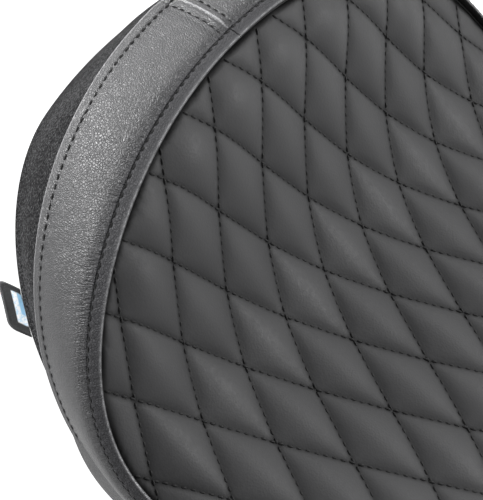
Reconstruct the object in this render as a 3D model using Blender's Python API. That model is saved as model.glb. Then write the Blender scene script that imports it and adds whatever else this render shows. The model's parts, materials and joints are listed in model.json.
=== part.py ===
# Bolt-on solo motorcycle seat with a deep bucket, a quilted top panel, smooth
# side bands, a gripper skirt, a moulded pan and its mounting hardware.
#
# Frame: +X is the rider's left, +Y is the rear, -Y is the nose, +Z is up.
# The origin is the centre of the flat, bare area on the pan's underside.
# All dimensions below are in millimetres and degrees; the model is built in metres.

import copy
import math

import bmesh
import bpy

MM = 0.001
SIDES = ((1.0, "left"), (-1.0, "right"))

# --- plan shape of the quilted panel -------------------------------------------
HALF_WIDTH = 171.7      # half width at the widest station
Y_WIDEST = -10.1        # where the panel is widest
REAR_RUN = 129.7        # widest station to the panel's rear edge
REAR_EXP = 2.08         # superellipse exponent of the rear half
FRONT_RUN = 285.0       # widest station to the tip of the nose
NOSE_HALF = 86.0        # half width the front narrows to
NOSE_BLEND = 0.80       # fraction of the front run over which it narrows
NOSE_EXP = 2.7          # roundness of the nose
SEG_REAR = 11           # stations per side, rear half
SEG_FRONT = 13          # stations per side, front half
REAR_SPINE = 0.50       # how far the centre line follows a station's Y, rear half
FRONT_SPINE = 0.54      # the same, front half

# --- height of the sitting surface ---------------------------------------------
BUCKET_Z = 54.0         # lowest point of the bucket above the pan's underside
REAR_RISE, REAR_LEN = 52.5, 161.5
FRONT_RISE, FRONT_LEN = 49.5, 160.4
NOSE_FALL, NOSE_FALL_LEN = 16.0, 135.0
DISH = 3.0              # sideways dish, mm per (100 mm) squared
EDGE_DROP, EDGE_SOFT = 6.0, 17.0
TOP_RINGS = [1.0, 0.96, 0.89, 0.77, 0.60, 0.37, 0.13]   # seam towards centre line

# --- cover ----------------------------------------------------------------------
QUILT_T = 6.0           # quilted panel: vinyl, sewn foam and scrim
BAND_T = 3.0            # side band: vinyl on backing foam
SKIRT_T = 1.6           # gripper fabric
SEAM_GAP = 0.3
SKIRT_TUCK = 0.5        # room between the band's back and the skirt tucked behind it
SKIRT_START = 0.86      # where along the band's curve the skirt begins behind it
FOLD_H = 6.0            # the skirt runs upright this far above the pan's underside
HEM = 22.0              # how far the skirt folds in under the pan
BAND_RISE = 3.2         # the band's top edge stands this far above the panel's edge
BAND_START = 24.0       # slope of the band at its top edge
BAND_SPREAD = 0.36      # fullness of the band's curve

# The cover's offsets from the seam at the sides, at the rear and at the nose:
# outward reach of the band's lower edge, band slope there,
# outward reach of the skirt's foot, and vertical depth of the band.
SIDE_COVER = (-4.5, 105.0, -14.0, 37.5)
REAR_COVER = (35.5, 55.0, 30.0, 24.5)
NOSE_COVER = (8.0, 88.0, 0.0, 33.0)

# --- pan ------------------------------------------------------------------------
PAN_T = 3.5
LIP_H, LIP_T = 14.0, 3.2
LIP_OUTER = 2.2                 # inset of the lip's outer face from the skirt
LIP_INNER = LIP_OUTER + LIP_T
KICK, KICK_START, KICK_RUN = 30.0, 100.0, 150.0   # the nose of the pan kicks up
PAN_RINGS = [0.14, 0.42, 0.72, 1.0]   # floor rings, centre line towards the hem's edge
REST_R = 36.0           # flat rest in the middle of the underside, ringed by a groove
GROOVE_W, GROOVE_DEPTH = 2.5, 1.2

# --- padding and liner ----------------------------------------------------------
GEL_T, GEL_AX, GEL_AY, GEL_Y = 11.0, 118.0, 84.0, 8.0
GEL_SEG = 22
FOAM_GAP = 0.6          # between the foam and the pan's floor
LINER_T = 2.0
LINER_X, LINER_FRONT = 46.0, -92.5    # the liner's inner and front edges
LINER_INSET = HEM + 5.0

# --- hardware -------------------------------------------------------------------
FIT_GAP = 0.3           # between stacked hardware parts
PLATE_T, TONGUE_T = 3.0, 3.5
M6_R, CLEAR = 3.0, 0.3
M6_HOLE = M6_R + CLEAR
SCREW_HOLE = M6_R + 0.4
SMALL_HOLE = 2.3        # radius for rivets and bumper screws
TONGUE_BOLT_X, TONGUE_BOLT_Y = 19.0, -80.0
REAR_BOLT_X, REAR_BOLT_Y = 20.0, 88.0
BOLT_TIP_Z = 11.6
SLIDE = 8.0             # slotted bracket adjusts this far each way
TAB_Z = -5.3            # top of the rear bracket's tab
KNOB_Y = 127.0
GRIP = 3.0              # room left for the fender stay between tab and washer
KNOB_R, KNOB_H = 12.0, 9.0
KNOB_SCALLOP = 0.9      # depth of the grooves round the knob
SCREW_TIP_Z = -2.95
SCREW_Z = TAB_Z - PLATE_T - GRIP - 1.3          # top face of the knob
BUMPERS = [(92.0, 62.0), (-92.0, 62.0), (96.0, -72.0), (-96.0, -72.0)]
RIVET_INSET = 14.0
RIVET_STATIONS = (2, 5, 8, 10, 12, 14)          # all on the flat part of the pan

# --- fabric tag -----------------------------------------------------------------
TAG_PHI = 33.2          # angle round the rear half
TAG_W, TAG_L, TAG_T = 25.0, 12.0, 1.4
TAG_LEAN = 0.75         # folded on the skew, so its free edge sits further back
TAG_DROOP = 0.10        # fall per unit of length
TAG_Z = -4.4
TAG_TUCK = 2.0          # its hinge lies this far inside the skirt's foot

for old in list(bpy.data.objects):
    bpy.data.objects.remove(old, do_unlink=True)


# ===================================================================== materials
def material(name, colour, roughness, metallic=0.0):
    mat = bpy.data.materials.new(name)
    mat.use_nodes = True
    bsdf = mat.node_tree.nodes["Principled BSDF"]
    bsdf.inputs["Base Color"].default_value = (*colour, 1.0)
    bsdf.inputs["Roughness"].default_value = roughness
    bsdf.inputs["Metallic"].default_value = metallic
    mat.diffuse_color = (*colour, 1.0)
    return mat


QUILT_VINYL = material("quilt_vinyl", colour=(0.075, 0.075, 0.078), roughness=0.62)
BAND_VINYL = material("band_vinyl", colour=(0.085, 0.085, 0.090), roughness=0.48)
GRIPPER = material("gripper_fabric", colour=(0.060, 0.060, 0.062), roughness=0.90)
FOAM = material("moulded_foam", colour=(0.33, 0.31, 0.27), roughness=0.95)
GEL = material("gel_pad", colour=(0.10, 0.22, 0.42), roughness=0.25)
PAN_PLASTIC = material("pan_plastic", colour=(0.022, 0.022, 0.024), roughness=0.55)
FELT = material("felt_liner", colour=(0.045, 0.045, 0.048), roughness=0.98)
COATED = material("coated_steel", colour=(0.020, 0.020, 0.022), roughness=0.42, metallic=0.3)
ZINC = material("zinc_steel", colour=(0.60, 0.60, 0.62), roughness=0.35, metallic=1.0)
RUBBER = material("bumper_rubber", colour=(0.015, 0.015, 0.016), roughness=0.80)
NYLON = material("nylon", colour=(0.70, 0.69, 0.64), roughness=0.50)
TAG_FABRIC = material("tag_fabric", colour=(0.030, 0.031, 0.036), roughness=0.85)


# ================================================================== plan outline
def smooth(start, end, value):
    """Smoothstep from 0 at start to 1 at end."""
    t = min(max((value - start) / (end - start), 0.0), 1.0)
    return t * t * (3.0 - 2.0 * t)


def blend(start, end, t):
    return start + (end - start) * t


def left_normal(start, end):
    """Unit vector pointing to the left of the way from start to end."""
    dx, dy = end[0] - start[0], end[1] - start[1]
    length = math.hypot(dx, dy)
    return -dy / length, dx / length


def rear_point(phi):
    c, s = math.cos(math.radians(phi)), math.sin(math.radians(phi))
    total = (abs(c) / HALF_WIDTH) ** REAR_EXP + (abs(s) / REAR_RUN) ** REAR_EXP
    radius = 1.0 / total ** (1.0 / REAR_EXP)
    return radius * c, Y_WIDEST + radius * s


def front_point(t):
    """Seam point at fraction t of the front run."""
    narrowing = 0.5 * (1.0 + math.cos(math.pi * min(t / NOSE_BLEND, 1.0)))
    width = NOSE_HALF + (HALF_WIDTH - NOSE_HALF) * narrowing
    x = width * max(1.0 - t ** NOSE_EXP, 0.0) ** (1.0 / NOSE_EXP)
    return x, Y_WIDEST - t * FRONT_RUN


def resample(points, count):
    """Divide a polyline into count equal lengths."""
    run = [0.0]
    for (xa, ya), (xb, yb) in zip(points, points[1:]):
        run.append(run[-1] + math.hypot(xb - xa, yb - ya))
    out = []
    k = 0
    for i in range(count + 1):
        target = run[-1] * i / count
        while k < len(run) - 2 and run[k + 1] < target:
            k += 1
        t = (target - run[k]) / (run[k + 1] - run[k])
        out.append(tuple(blend(a, b, t) for a, b in zip(points[k], points[k + 1])))
    return out


def cosine_rise(height, t):
    return 0.5 * height * (1.0 - math.cos(math.pi * min(t, 1.0)))


def crown(x, y):
    """Height of the sitting surface above the bucket's lowest point."""
    if y > 0.0:
        z = cosine_rise(REAR_RISE, y / REAR_LEN)
    else:
        z = cosine_rise(FRONT_RISE, -y / FRONT_LEN)
        z -= NOSE_FALL * smooth(0.0, 1.0, (-y - FRONT_LEN) / NOSE_FALL_LEN)
    return z + DISH * (x / 100.0) ** 2


def base_z(y):
    """Underside of the pan: flat, then kicked up towards the nose."""
    return KICK * smooth(KICK_START, KICK_START + KICK_RUN, -y)


def cover_offsets(target, amounts):
    """Blend each of the cover's offsets from the sides towards the rear or nose."""
    return [blend(a, b, t) for a, b, t in zip(SIDE_COVER, target, amounts)]


def rear_offsets(phi):
    reach = 1.0 - abs(math.cos(math.radians(phi))) ** 4.5
    return cover_offsets(REAR_COVER, (reach, smooth(14.0, 85.0, phi), smooth(5.0, 68.0, phi),
                                      smooth(25.0, 66.0, phi)))


def front_offsets(fraction):
    late = smooth(0.5, 1.0, fraction)
    return cover_offsets(NOSE_COVER, (late, late, late, smooth(0.3, 1.0, fraction)))


class Station:
    """A point on the quilt seam, its outward normal and the cover's offsets there."""

    def __init__(self, x, y, normal, offsets):
        self.x, self.y = x, y
        self.out_x, self.out_y = normal
        self.band_out, self.band_slope, self.skirt_out, self.band_depth = offsets
        self.seam_z = BUCKET_Z + crown(x, y) - EDGE_DROP
        follow = REAR_SPINE if y > Y_WIDEST else FRONT_SPINE
        self.spine_y = Y_WIDEST + follow * (y - Y_WIDEST)

    def mirrored(self):
        other = copy.copy(self)
        other.x, other.out_x = -self.x, -self.out_x
        return other

    def at(self, out, z):
        """Point at height z, a distance out from the seam."""
        return (self.x + self.out_x * out, self.y + self.out_y * out, z)

    def base(self, inset=0.0):
        """Height of the pan's underside, inset from the skirt's foot."""
        return base_z(self.y + self.out_y * (self.skirt_out - inset))

    def shrunk(self, factor, out):
        """Plan point offset from the seam, then drawn towards the centre line."""
        x, y, _ = self.at(out, 0.0)
        return factor * x, self.spine_y + factor * (y - self.spine_y)


def half_stations():
    """Stations from the rear centre round the +X side to the tip of the nose."""
    rear = resample([rear_point(90.0 - 0.25 * i) for i in range(361)], SEG_REAR)
    # the fine points crowd towards the tip, where the outline turns fastest
    front = resample([front_point(1.0 - (1.0 - i / 600.0) ** 2.5) for i in range(601)], SEG_FRONT)
    points = rear[:-1] + front
    out = []
    for i, (x, y) in enumerate(points):
        if i == 0:
            normal = (0.0, 1.0)
        elif i == len(points) - 1:
            normal = (0.0, -1.0)
        else:
            normal = left_normal(points[i - 1], points[i + 1])
        if i <= SEG_REAR:
            offsets = rear_offsets(math.degrees(math.atan2(y - Y_WIDEST, x)))
        else:
            offsets = front_offsets((i - SEG_REAR) / SEG_FRONT)
        out.append(Station(x, y, normal, offsets))
    return out


HALF = half_stations()
FULL = HALF + [st.mirrored() for st in HALF[-2:0:-1]]


# ================================================================== mesh helpers
def link(name, data):
    obj = bpy.data.objects.new(name, data)
    bpy.context.scene.collection.objects.link(obj)
    return obj


def finish_mesh(name, bm, mat, smooth_shade=True):
    bmesh.ops.remove_doubles(bm, verts=bm.verts, dist=1e-7)
    bmesh.ops.recalc_face_normals(bm, faces=bm.faces)
    if bm.calc_volume(signed=True) < 0:
        bmesh.ops.reverse_faces(bm, faces=bm.faces)
    mesh = bpy.data.meshes.new(name)
    bm.to_mesh(mesh)
    bm.free()
    if smooth_shade:
        mesh.shade_smooth()
        mesh.set_sharp_from_angle(angle=math.radians(38))
    mesh.materials.append(mat)
    return link(name, mesh)


def add_ring(bm, points):
    return [bm.verts.new((x * MM, y * MM, z * MM)) for x, y, z in points]


def at_height(outline, z):
    return [(x, y, z) for x, y in outline]


def skin_rings(bm, rings):
    n = len(rings[0])
    for ra, rb in zip(rings, rings[1:]):
        for i in range(n):
            j = (i + 1) % n
            bm.faces.new((ra[i], ra[j], rb[j], rb[i]))


def skin_capped(bm, rings):
    """Skin the rings and close each end with one flat face."""
    skin_rings(bm, rings)
    bm.faces.new(rings[0][::-1])
    bm.faces.new(rings[-1])


def skin_laddered(bm, rings):
    """Skin rings symmetric about x = 0 and fill the ends with rungs from side to side."""
    skin_rings(bm, rings)
    for ring in (rings[0], rings[-1]):
        n = len(ring)
        for i in range(n // 2):
            corners = (ring[i], ring[i + 1], ring[(n - i - 1) % n], ring[(n - i) % n])
            bm.faces.new(list(dict.fromkeys(corners)))   # the end rungs are triangles


def fan(bm, ring, hub):
    for k in range(len(ring)):
        bm.faces.new((ring[k], ring[(k + 1) % len(ring)], hub))


def circle(cx, cy, radius, seg, odd_radius=None):
    """Circle outline; odd-numbered points may lie at a radius of their own."""
    points = []
    for k in range(seg):
        a = 2.0 * math.pi * k / seg
        r = radius if odd_radius is None or k % 2 == 0 else odd_radius
        points.append((cx + r * math.cos(a), cy + r * math.sin(a)))
    return points


def stadium(cx, cy, radius, half_len, seg=8):
    """Slot outline, long in Y."""
    points = []
    for start, shift in ((0.0, half_len), (math.pi, -half_len)):
        for k in range(seg + 1):
            a = start + math.pi * k / seg
            points.append((cx + radius * math.cos(a), cy + shift + radius * math.sin(a)))
    return points


def revolve(name, profile, mat, centre, seg):
    """Turn (radius, z[, odd radius]) entries about a vertical axis.

    A profile that starts off the axis is closed on itself.
    """
    bm = bmesh.new()
    rings = []
    for radius, z, *odd in profile:
        outline = circle(*centre, radius, seg, *odd) if radius else [centre]
        rings.append(add_ring(bm, at_height(outline, z)))
    if profile[0][0]:
        rings.append(rings[0])
    for ra, rb in zip(rings, rings[1:]):
        if len(ra) == 1:
            fan(bm, rb, ra[0])
        elif len(rb) == 1:
            fan(bm, ra, rb[0])
        else:
            skin_rings(bm, [ra, rb])
    return finish_mesh(name, bm, mat)


def add_prism(bm, outline, z_low, z_high):
    skin_capped(bm, [add_ring(bm, at_height(outline, z)) for z in (z_low, z_high)])


def plate(name, stations, thickness):
    """Formed strap: stations are (y, top z, half width)."""
    bm = bmesh.new()
    rings = []
    for y, z, w in stations:
        low = z - thickness
        rings.append(add_ring(bm, [(-w, y, low), (w, y, low), (w, y, z), (-w, y, z)]))
    skin_capped(bm, rings)
    return finish_mesh(name, bm, COATED, False)


def as_tool(obj):
    obj.hide_render = True
    obj.display_type = 'WIRE'
    return obj


def cutter(name, shapes):
    """One cutting tool made of several upright prisms (outline, low z, high z)."""
    bm = bmesh.new()
    for outline, z_low, z_high in shapes:
        add_prism(bm, outline, z_low, z_high)
    bmesh.ops.recalc_face_normals(bm, faces=bm.faces)
    mesh = bpy.data.meshes.new(name)
    bm.to_mesh(mesh)
    bm.free()
    return as_tool(link(name, mesh))


def round_shapes(spots, radius, seg, z_low, z_high):
    return [(circle(x, y, radius, seg), z_low, z_high) for x, y in spots]


def cut(obj, tool):
    mod = obj.modifiers.new("cut_" + tool.name, 'BOOLEAN')
    mod.operation = 'DIFFERENCE'
    mod.solver = 'EXACT'
    mod.object = tool


# =================================================================== fixing spots
def mirrored_pair(x, y):
    return [(side * x, y) for side, _ in SIDES]


TONGUE_BOLTS = mirrored_pair(TONGUE_BOLT_X, TONGUE_BOLT_Y)
REAR_BOLTS = mirrored_pair(REAR_BOLT_X, REAR_BOLT_Y)
BOLTS = TONGUE_BOLTS + REAR_BOLTS
LEFT_RIVETS = [HALF[i].at(HALF[i].skirt_out - RIVET_INSET, 0.0)[:2] for i in RIVET_STATIONS]
RIVETS = [spot for x, y in LEFT_RIVETS for spot in mirrored_pair(x, y)]


# ================================================================== cover sections
def band_point(st, t, push=0.0):
    """(outward, z) at t along the band's Bezier section, seam to lower edge.

    push moves the point that far in behind the band's face.
    """
    first, last = (SEAM_GAP, BAND_RISE), (st.band_out, -st.band_depth)
    reach = BAND_SPREAD * math.hypot(last[0] - first[0], last[1] - first[1])
    a, b = math.radians(BAND_START), math.radians(st.band_slope)
    control = [first,
               (first[0] + reach * math.cos(a), first[1] - reach * math.sin(a)),
               (last[0] - reach * math.cos(b), last[1] + reach * math.sin(b)),
               last]
    u = 1.0 - t
    weights = (u ** 3, 3 * u * u * t, 3 * u * t * t, t ** 3)
    slopes = (-3 * u * u, 3 * u * u - 6 * u * t, 6 * u * t - 3 * t * t, 3 * t * t)
    out, height = (sum(w * p[axis] for w, p in zip(weights, control)) for axis in (0, 1))
    d_out, d_height = (sum(w * p[axis] for w, p in zip(slopes, control)) for axis in (0, 1))
    length = math.hypot(d_out, d_height)
    return out + push * d_height / length, st.seam_z + height - push * d_out / length


def band_section(st):
    outer = [band_point(st, k / 5) for k in range(6)]
    inner = []
    for k in range(5):
        out, z = band_point(st, k / 4, push=BAND_T)
        z = min(z, st.seam_z - 1.0)
        # beside the quilted panel the band's back stays outside the seam
        if z > st.seam_z - QUILT_T - 2.0:
            out = max(out, SEAM_GAP)
        inner.append((out, z))
    return outer + inner[::-1]


def skirt_line(st):
    """Skirt's outer face: from behind the band, down, round the pan's edge and in."""
    foot, z_foot = st.skirt_out, st.base()
    start = band_point(st, SKIRT_START, push=BAND_T + SKIRT_TUCK)
    band_end, z_end = band_point(st, 1.0, push=BAND_T + SKIRT_TUCK)
    return [start,
            (band_end, z_end),
            (0.5 * (band_end + foot) + 1.5, 0.5 * (z_end + z_foot + FOLD_H)),
            (foot, z_foot + FOLD_H),
            (foot, z_foot + 0.6),
            (foot - 2.0, z_foot - 2.3),
            (foot - HEM, st.base(HEM) - 2.4)]


def skirt_section(st):
    line = skirt_line(st)
    foot, z_foot = st.skirt_out, st.base()
    inner = []
    for i in range(3):
        out, z = line[i]
        normal = left_normal(line[max(i - 1, 0)], line[i + 1])
        inner.append((out - SKIRT_T * normal[0], z - SKIRT_T * normal[1]))
    inner += [(foot - SKIRT_T, z_foot + FOLD_H),
              (foot - SKIRT_T, z_foot + 0.8),
              (foot - 2.9, z_foot - 0.75),
              (foot - HEM, st.base(HEM) - 0.85)]
    return line + inner[::-1]


def half_sweep(name, section, mat, side):
    """Sweep a closed section round one side, leaving a hairline at both centre seams."""
    bm = bmesh.new()
    rings = []
    for st in HALF:
        points = [st.at(out, z) for out, z in section(st)]
        rings.append(add_ring(bm, [(side * max(x, SEAM_GAP), y, z) for x, y, z in points]))
    skin_capped(bm, rings)
    return finish_mesh(name, bm, mat)


def build_bands():
    for side, word in SIDES:
        half_sweep("cover_band_" + word, band_section, BAND_VINYL, side)


def build_skirts():
    for side, word in SIDES:
        skirt = half_sweep("cover_skirt_" + word, skirt_section, GRIPPER, side)
        spots = [(side * x, y) for x, y in LEFT_RIVETS]
        cut(skirt, cutter("hem_hole_tool_" + word[0],
                          round_shapes(spots, SMALL_HOLE, 10, -8.0, 1.5)))


# ========================================================= quilted top and padding
def seat_ring(factor, inset, drop):
    """A ring below the sitting surface, shrunk towards the panel's centre line."""
    points = []
    for st in FULL:
        x, y = st.shrunk(factor, -inset)
        seam_x, seam_y, _ = st.at(-inset, 0.0)
        edge_dist = (1.0 - factor) * math.hypot(seam_x, seam_y - st.spine_y)
        edge_drop = EDGE_DROP * math.exp(-(edge_dist / EDGE_SOFT) ** 2)
        points.append((x, y, BUCKET_Z + crown(x, y) - edge_drop - drop))
    return points


def build_quilted_top():
    bm = bmesh.new()
    upper = [add_ring(bm, seat_ring(f, SEAM_GAP, 0.0)) for f in TOP_RINGS]
    lower = [add_ring(bm, seat_ring(f, SEAM_GAP, QUILT_T)) for f in TOP_RINGS]
    skin_laddered(bm, upper[::-1] + lower)
    return finish_mesh("cover_quilted_top", bm, QUILT_VINYL)


def build_gel(name, mat, grow=0.0, lift=0.0, drop=0.0):
    """Elliptical pad that follows the sitting surface."""
    top, low = [], []
    for f in (1.0, 0.84, 0.60, 0.30):
        top_ring, low_ring = [], []
        for k in range(GEL_SEG):
            a = 2 * math.pi * k / GEL_SEG
            x = (GEL_AX + grow) * f * math.cos(a)
            y = GEL_Y + (GEL_AY + grow) * f * math.sin(a)
            z = BUCKET_Z + crown(x, y) - QUILT_T - 1.9
            top_ring.append((x, y, z + lift))
            low_ring.append((x, y, z - GEL_T - drop))
        top.append(top_ring)
        low.append(low_ring)
    bm = bmesh.new()
    top = [add_ring(bm, ring) for ring in top]
    low = [add_ring(bm, ring) for ring in low]
    skin_rings(bm, top[::-1] + low)
    for ring in (top[-1], low[-1]):
        centre = [sum(v.co[axis] for v in ring) / len(ring) for axis in range(3)]
        fan(bm, ring, bm.verts.new(centre))
    return finish_mesh(name, bm, mat)


def foam_side(st):
    """Foam section below the sitting surface, (outward, z), down to the pan's floor."""

    def behind_band(t, gap):
        out, z = band_point(st, t, push=BAND_T + gap)
        return out, min(z, st.seam_z - QUILT_T - 1.0)

    section = []
    for t in (0.22, 0.55):
        out, z = behind_band(t, 0.9)
        section.append((max(out, 0.2), z))
    section += [behind_band(t, SKIRT_TUCK + SKIRT_T + 1.2) for t in (0.84, 1.0)]
    mid_out, mid_z = skirt_line(st)[2]
    foot, z_foot = st.skirt_out, st.base()
    inside_lip = foot - LIP_INNER - 0.8
    section += [(mid_out - SKIRT_T - 1.6, mid_z + 1.5),
                (foot - SKIRT_T - 1.2, z_foot + LIP_H + 1.2),
                (inside_lip, z_foot + LIP_H + 0.8),
                (inside_lip, z_foot + PAN_T + FOAM_GAP)]
    return section


def build_foam():
    bm = bmesh.new()
    rings = [add_ring(bm, seat_ring(f, 1.2, QUILT_T + 1.8)) for f in TOP_RINGS[::-1]]
    for level in zip(*[foam_side(st) for st in FULL]):
        rings.append(add_ring(bm, [st.at(out, z) for st, (out, z) in zip(FULL, level)]))
    rings += [add_ring(bm, floor_ring(f, PAN_T + FOAM_GAP)) for f in PAN_RINGS[::-1]]
    skin_laddered(bm, rings)
    foam = finish_mesh("foam_base", bm, FOAM)

    # pockets over the fixings, then the gel pad's recess, open at the top
    pockets = round_shapes(BOLTS, 10.2, 12, -2.0, PAN_T + 10.0)
    pockets += round_shapes(BUMPERS, 3.4, 8, -2.0, PAN_T + 7.0)
    pockets += round_shapes(RIVETS, 4.0, 8, -2.0, PAN_T + 6.0)
    cut(foam, cutter("foam_pocket_tool", pockets))
    cut(foam, as_tool(build_gel("gel_pocket_tool", FOAM, grow=0.8, lift=30.0, drop=0.6)))


# ================================================================== pan and liner
def floor_ring(factor, lift):
    """A ring of the pan's floor, from its centre line out to the hem's edge."""
    points = []
    for st in FULL:
        x, y = st.shrunk(factor, st.skirt_out - HEM)
        points.append((x, y, base_z(y) + lift))
    return points


def rim_ring(inset, lift):
    """A ring near the pan's edge, level with the skirt's foot at each station."""
    return [st.at(st.skirt_out - inset, st.base() + lift) for st in FULL]


def build_pan():
    bm = bmesh.new()
    rings = [add_ring(bm, floor_ring(f, 0.0)) for f in PAN_RINGS]
    # (inset, height) round the lip, from underneath to the inside
    for inset, lift in ((3.4, 0.0), (LIP_OUTER, 0.8), (LIP_OUTER, LIP_H),
                        (LIP_INNER, LIP_H), (LIP_INNER, PAN_T)):
        rings.append(add_ring(bm, rim_ring(inset, lift)))
    rings += [add_ring(bm, floor_ring(f, PAN_T)) for f in PAN_RINGS[::-1]]
    skin_laddered(bm, rings)
    pan = finish_mesh("seat_pan", bm, PAN_PLASTIC)

    holes = round_shapes(BOLTS, M6_HOLE, 12, -6.0, PAN_T + 6.0)
    holes += round_shapes(BUMPERS + RIVETS, SMALL_HOLE, 10, -6.0, PAN_T + 6.0)
    cut(pan, cutter("pan_hole_tool", holes))
    groove_out = REST_R + GROOVE_W
    groove = revolve("pan_groove_tool",
                     [(REST_R, -1.0), (groove_out, -1.0),
                      (groove_out, GROOVE_DEPTH), (REST_R, GROOVE_DEPTH)],
                     PAN_PLASTIC, (0.0, 0.0), 32)
    cut(pan, as_tool(groove))


def build_liners():
    """Felt sheet bonded under each side of the pan, clear of the hem and brackets."""
    edge = [st.at(st.skirt_out - LINER_INSET, 0.0)[:2] for st in HALF]
    edge = [(x, y) for x, y in edge if x > LINER_X and y > LINER_FRONT + 0.5]
    outline = [(LINER_X, edge[0][1])] + edge
    outline += [(edge[-1][0] - 0.5, LINER_FRONT), (LINER_X, LINER_FRONT)]
    for side, word in SIDES:
        bm = bmesh.new()
        add_prism(bm, [(side * x, y) for x, y in outline], -FIT_GAP - LINER_T, -FIT_GAP)
        liner = finish_mesh("base_liner_" + word, bm, FELT, False)
        spots = [(x, y) for x, y in BUMPERS if x * side > 0]
        cut(liner, cutter("liner_hole_tool_" + word[0],
                          round_shapes(spots, 14.5, 20, -5.0, 2.0)))


# ================================================================== hardware
def hex_bolt(name, cx, cy, z_head, z_tip):
    """Flanged hex bolt pointing up: flange face at z_head, tip at z_tip."""
    # (radius, z, ratio of the odd-numbered points' radius)
    flat = math.cos(math.pi / 6)
    profile = [(4.6, z_head - 6.0, flat), (5.6, z_head - 5.4, flat), (5.77, z_head - 1.8, flat),
               (7.0, z_head - 1.2, 1.0), (7.0, z_head, 1.0), (M6_R, z_head, 1.0),
               (M6_R, z_tip - 0.8, 1.0), (M6_R - 0.7, z_tip, 1.0)]
    bm = bmesh.new()
    skin_capped(bm, [add_ring(bm, at_height(circle(cx, cy, r, 12, r * odd), z))
                     for r, z, odd in profile])
    finish_mesh(name, bm, ZINC)


def washer(name, centre, r_in, r_out, z_low, z_high, mat):
    profile = [(r_in, z_low), (r_out, z_low), (r_out, z_high), (r_in, z_high)]
    return revolve(name, profile, mat, centre, 14)


def captive_nut(name, centre):
    z = PAN_T + 0.4
    revolve(name,
            [(M6_HOLE, z), (9.0, z), (9.0, z + 1.4), (5.2, z + 1.9), (5.2, z + 6.5),
             (M6_HOLE, z + 6.5)],
            ZINC, centre, 12)


def bolt_sets(prefix, spots, plate_t, washer_r, washer_t):
    """Washer, bolt and captive nut at each side of a plate under the pan."""
    washer_top = -FIT_GAP - plate_t - FIT_GAP
    washer_low = washer_top - washer_t
    for (x, y), (_, word) in zip(spots, SIDES):
        washer(prefix + "_washer_" + word, (x, y), M6_HOLE, washer_r, washer_low, washer_top, ZINC)
        hex_bolt(prefix + "_bolt_" + word, x, y, washer_low - FIT_GAP, BOLT_TIP_Z)
        captive_nut(prefix + "_nut_" + word, (x, y))


def build_tongue():
    """Bolted to the pan; steps down and hooks under the frame's cross bar."""
    tongue = plate("front_tongue_bracket",
                   [(-58.0, -0.3, 28.0), (-60.0, -0.3, 30.0), (-102.0, -0.3, 30.0),
                    (-108.0, -0.3, 26.0), (-114.0, -0.3, 17.0), (-118.0, -0.6, 16.0),
                    (-122.0, -2.2, 16.0), (-130.0, -7.2, 16.0), (-134.0, -8.8, 16.0),
                    (-138.0, -9.3, 16.0), (-196.0, -9.3, 16.0), (-203.0, -9.3, 13.5),
                    (-206.0, -9.3, 9.0)],
                   TONGUE_T)
    cut(tongue, cutter("tongue_hole_tool", round_shapes(TONGUE_BOLTS, M6_HOLE, 14, -9.0, 4.0)))
    bolt_sets("tongue", TONGUE_BOLTS, TONGUE_T, washer_r=6.6, washer_t=1.2)


def build_rear_bracket():
    """Slotted for fore and aft setting; its tab stays under the pan's rear edge."""
    bracket = plate("rear_mount_bracket",
                    [(60.0, -0.3, 30.0), (62.0, -0.3, 32.0), (103.0, -0.3, 32.0),
                     (106.5, -0.6, 27.0), (109.5, -2.4, 20.0), (112.0, -4.4, 17.5),
                     (114.5, TAB_Z, 17.0), (133.0, TAB_Z, 17.0), (138.0, TAB_Z, 14.0),
                     (141.0, TAB_Z, 9.0)],
                    PLATE_T)
    slots = [(stadium(x, y, M6_HOLE, SLIDE + 0.4), -8.0, 4.0) for x, y in REAR_BOLTS]
    slots += round_shapes([(0.0, KNOB_Y)], SCREW_HOLE, 16, -12.0, -1.0)
    cut(bracket, cutter("bracket_slot_tool", slots))
    bolt_sets("rear", REAR_BOLTS, PLATE_T, washer_r=8.5, washer_t=1.6)


def build_seat_screw():
    """Hand-turned screw, fed up from below into the tab's clinch nut.

    The screw and the washer that rides with it are modelled about their axis object.
    """
    washer("seat_screw_nut", (0.0, KNOB_Y), M6_HOLE, 5.8, -5.15, -2.85, ZINC)
    axis = link("seat_screw_axis", None)
    axis.location = (0.0, KNOB_Y * MM, SCREW_Z * MM)
    ring = washer("seat_screw_washer", (0.0, 0.0), SCREW_HOLE, 10.5, 0.1, 1.3, NYLON)
    tip = SCREW_TIP_Z - SCREW_Z
    scallop_r = KNOB_R - KNOB_SCALLOP
    screw = revolve("seat_screw",
                    [(0.0, tip), (M6_R - 0.8, tip), (M6_R, tip - 0.9), (M6_R, 0.0), (10.0, 0.0),
                     (KNOB_R, -1.4, scallop_r), (KNOB_R, 2.4 - KNOB_H, scallop_r),
                     (KNOB_R - 1.4, 0.9 - KNOB_H), (KNOB_R - 4.0, -KNOB_H),
                     (0.0, 0.6 - KNOB_H)],
                    COATED, (0.0, 0.0), 24)
    ring.parent = axis
    screw.parent = axis


def build_rivets():
    """Domed head below the hem, flared blind end above the pan."""
    for i, spot in enumerate(RIVETS):
        revolve("cover_rivet_%02d" % (i + 1),
                [(0.0, -4.2), (3.0, -3.8), (4.6, -2.7), (1.95, -2.7), (1.95, PAN_T + 0.3),
                 (3.0, PAN_T + 0.4), (2.2, PAN_T + 3.4), (0.0, PAN_T + 3.9)],
                ZINC, spot, 8)


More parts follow.
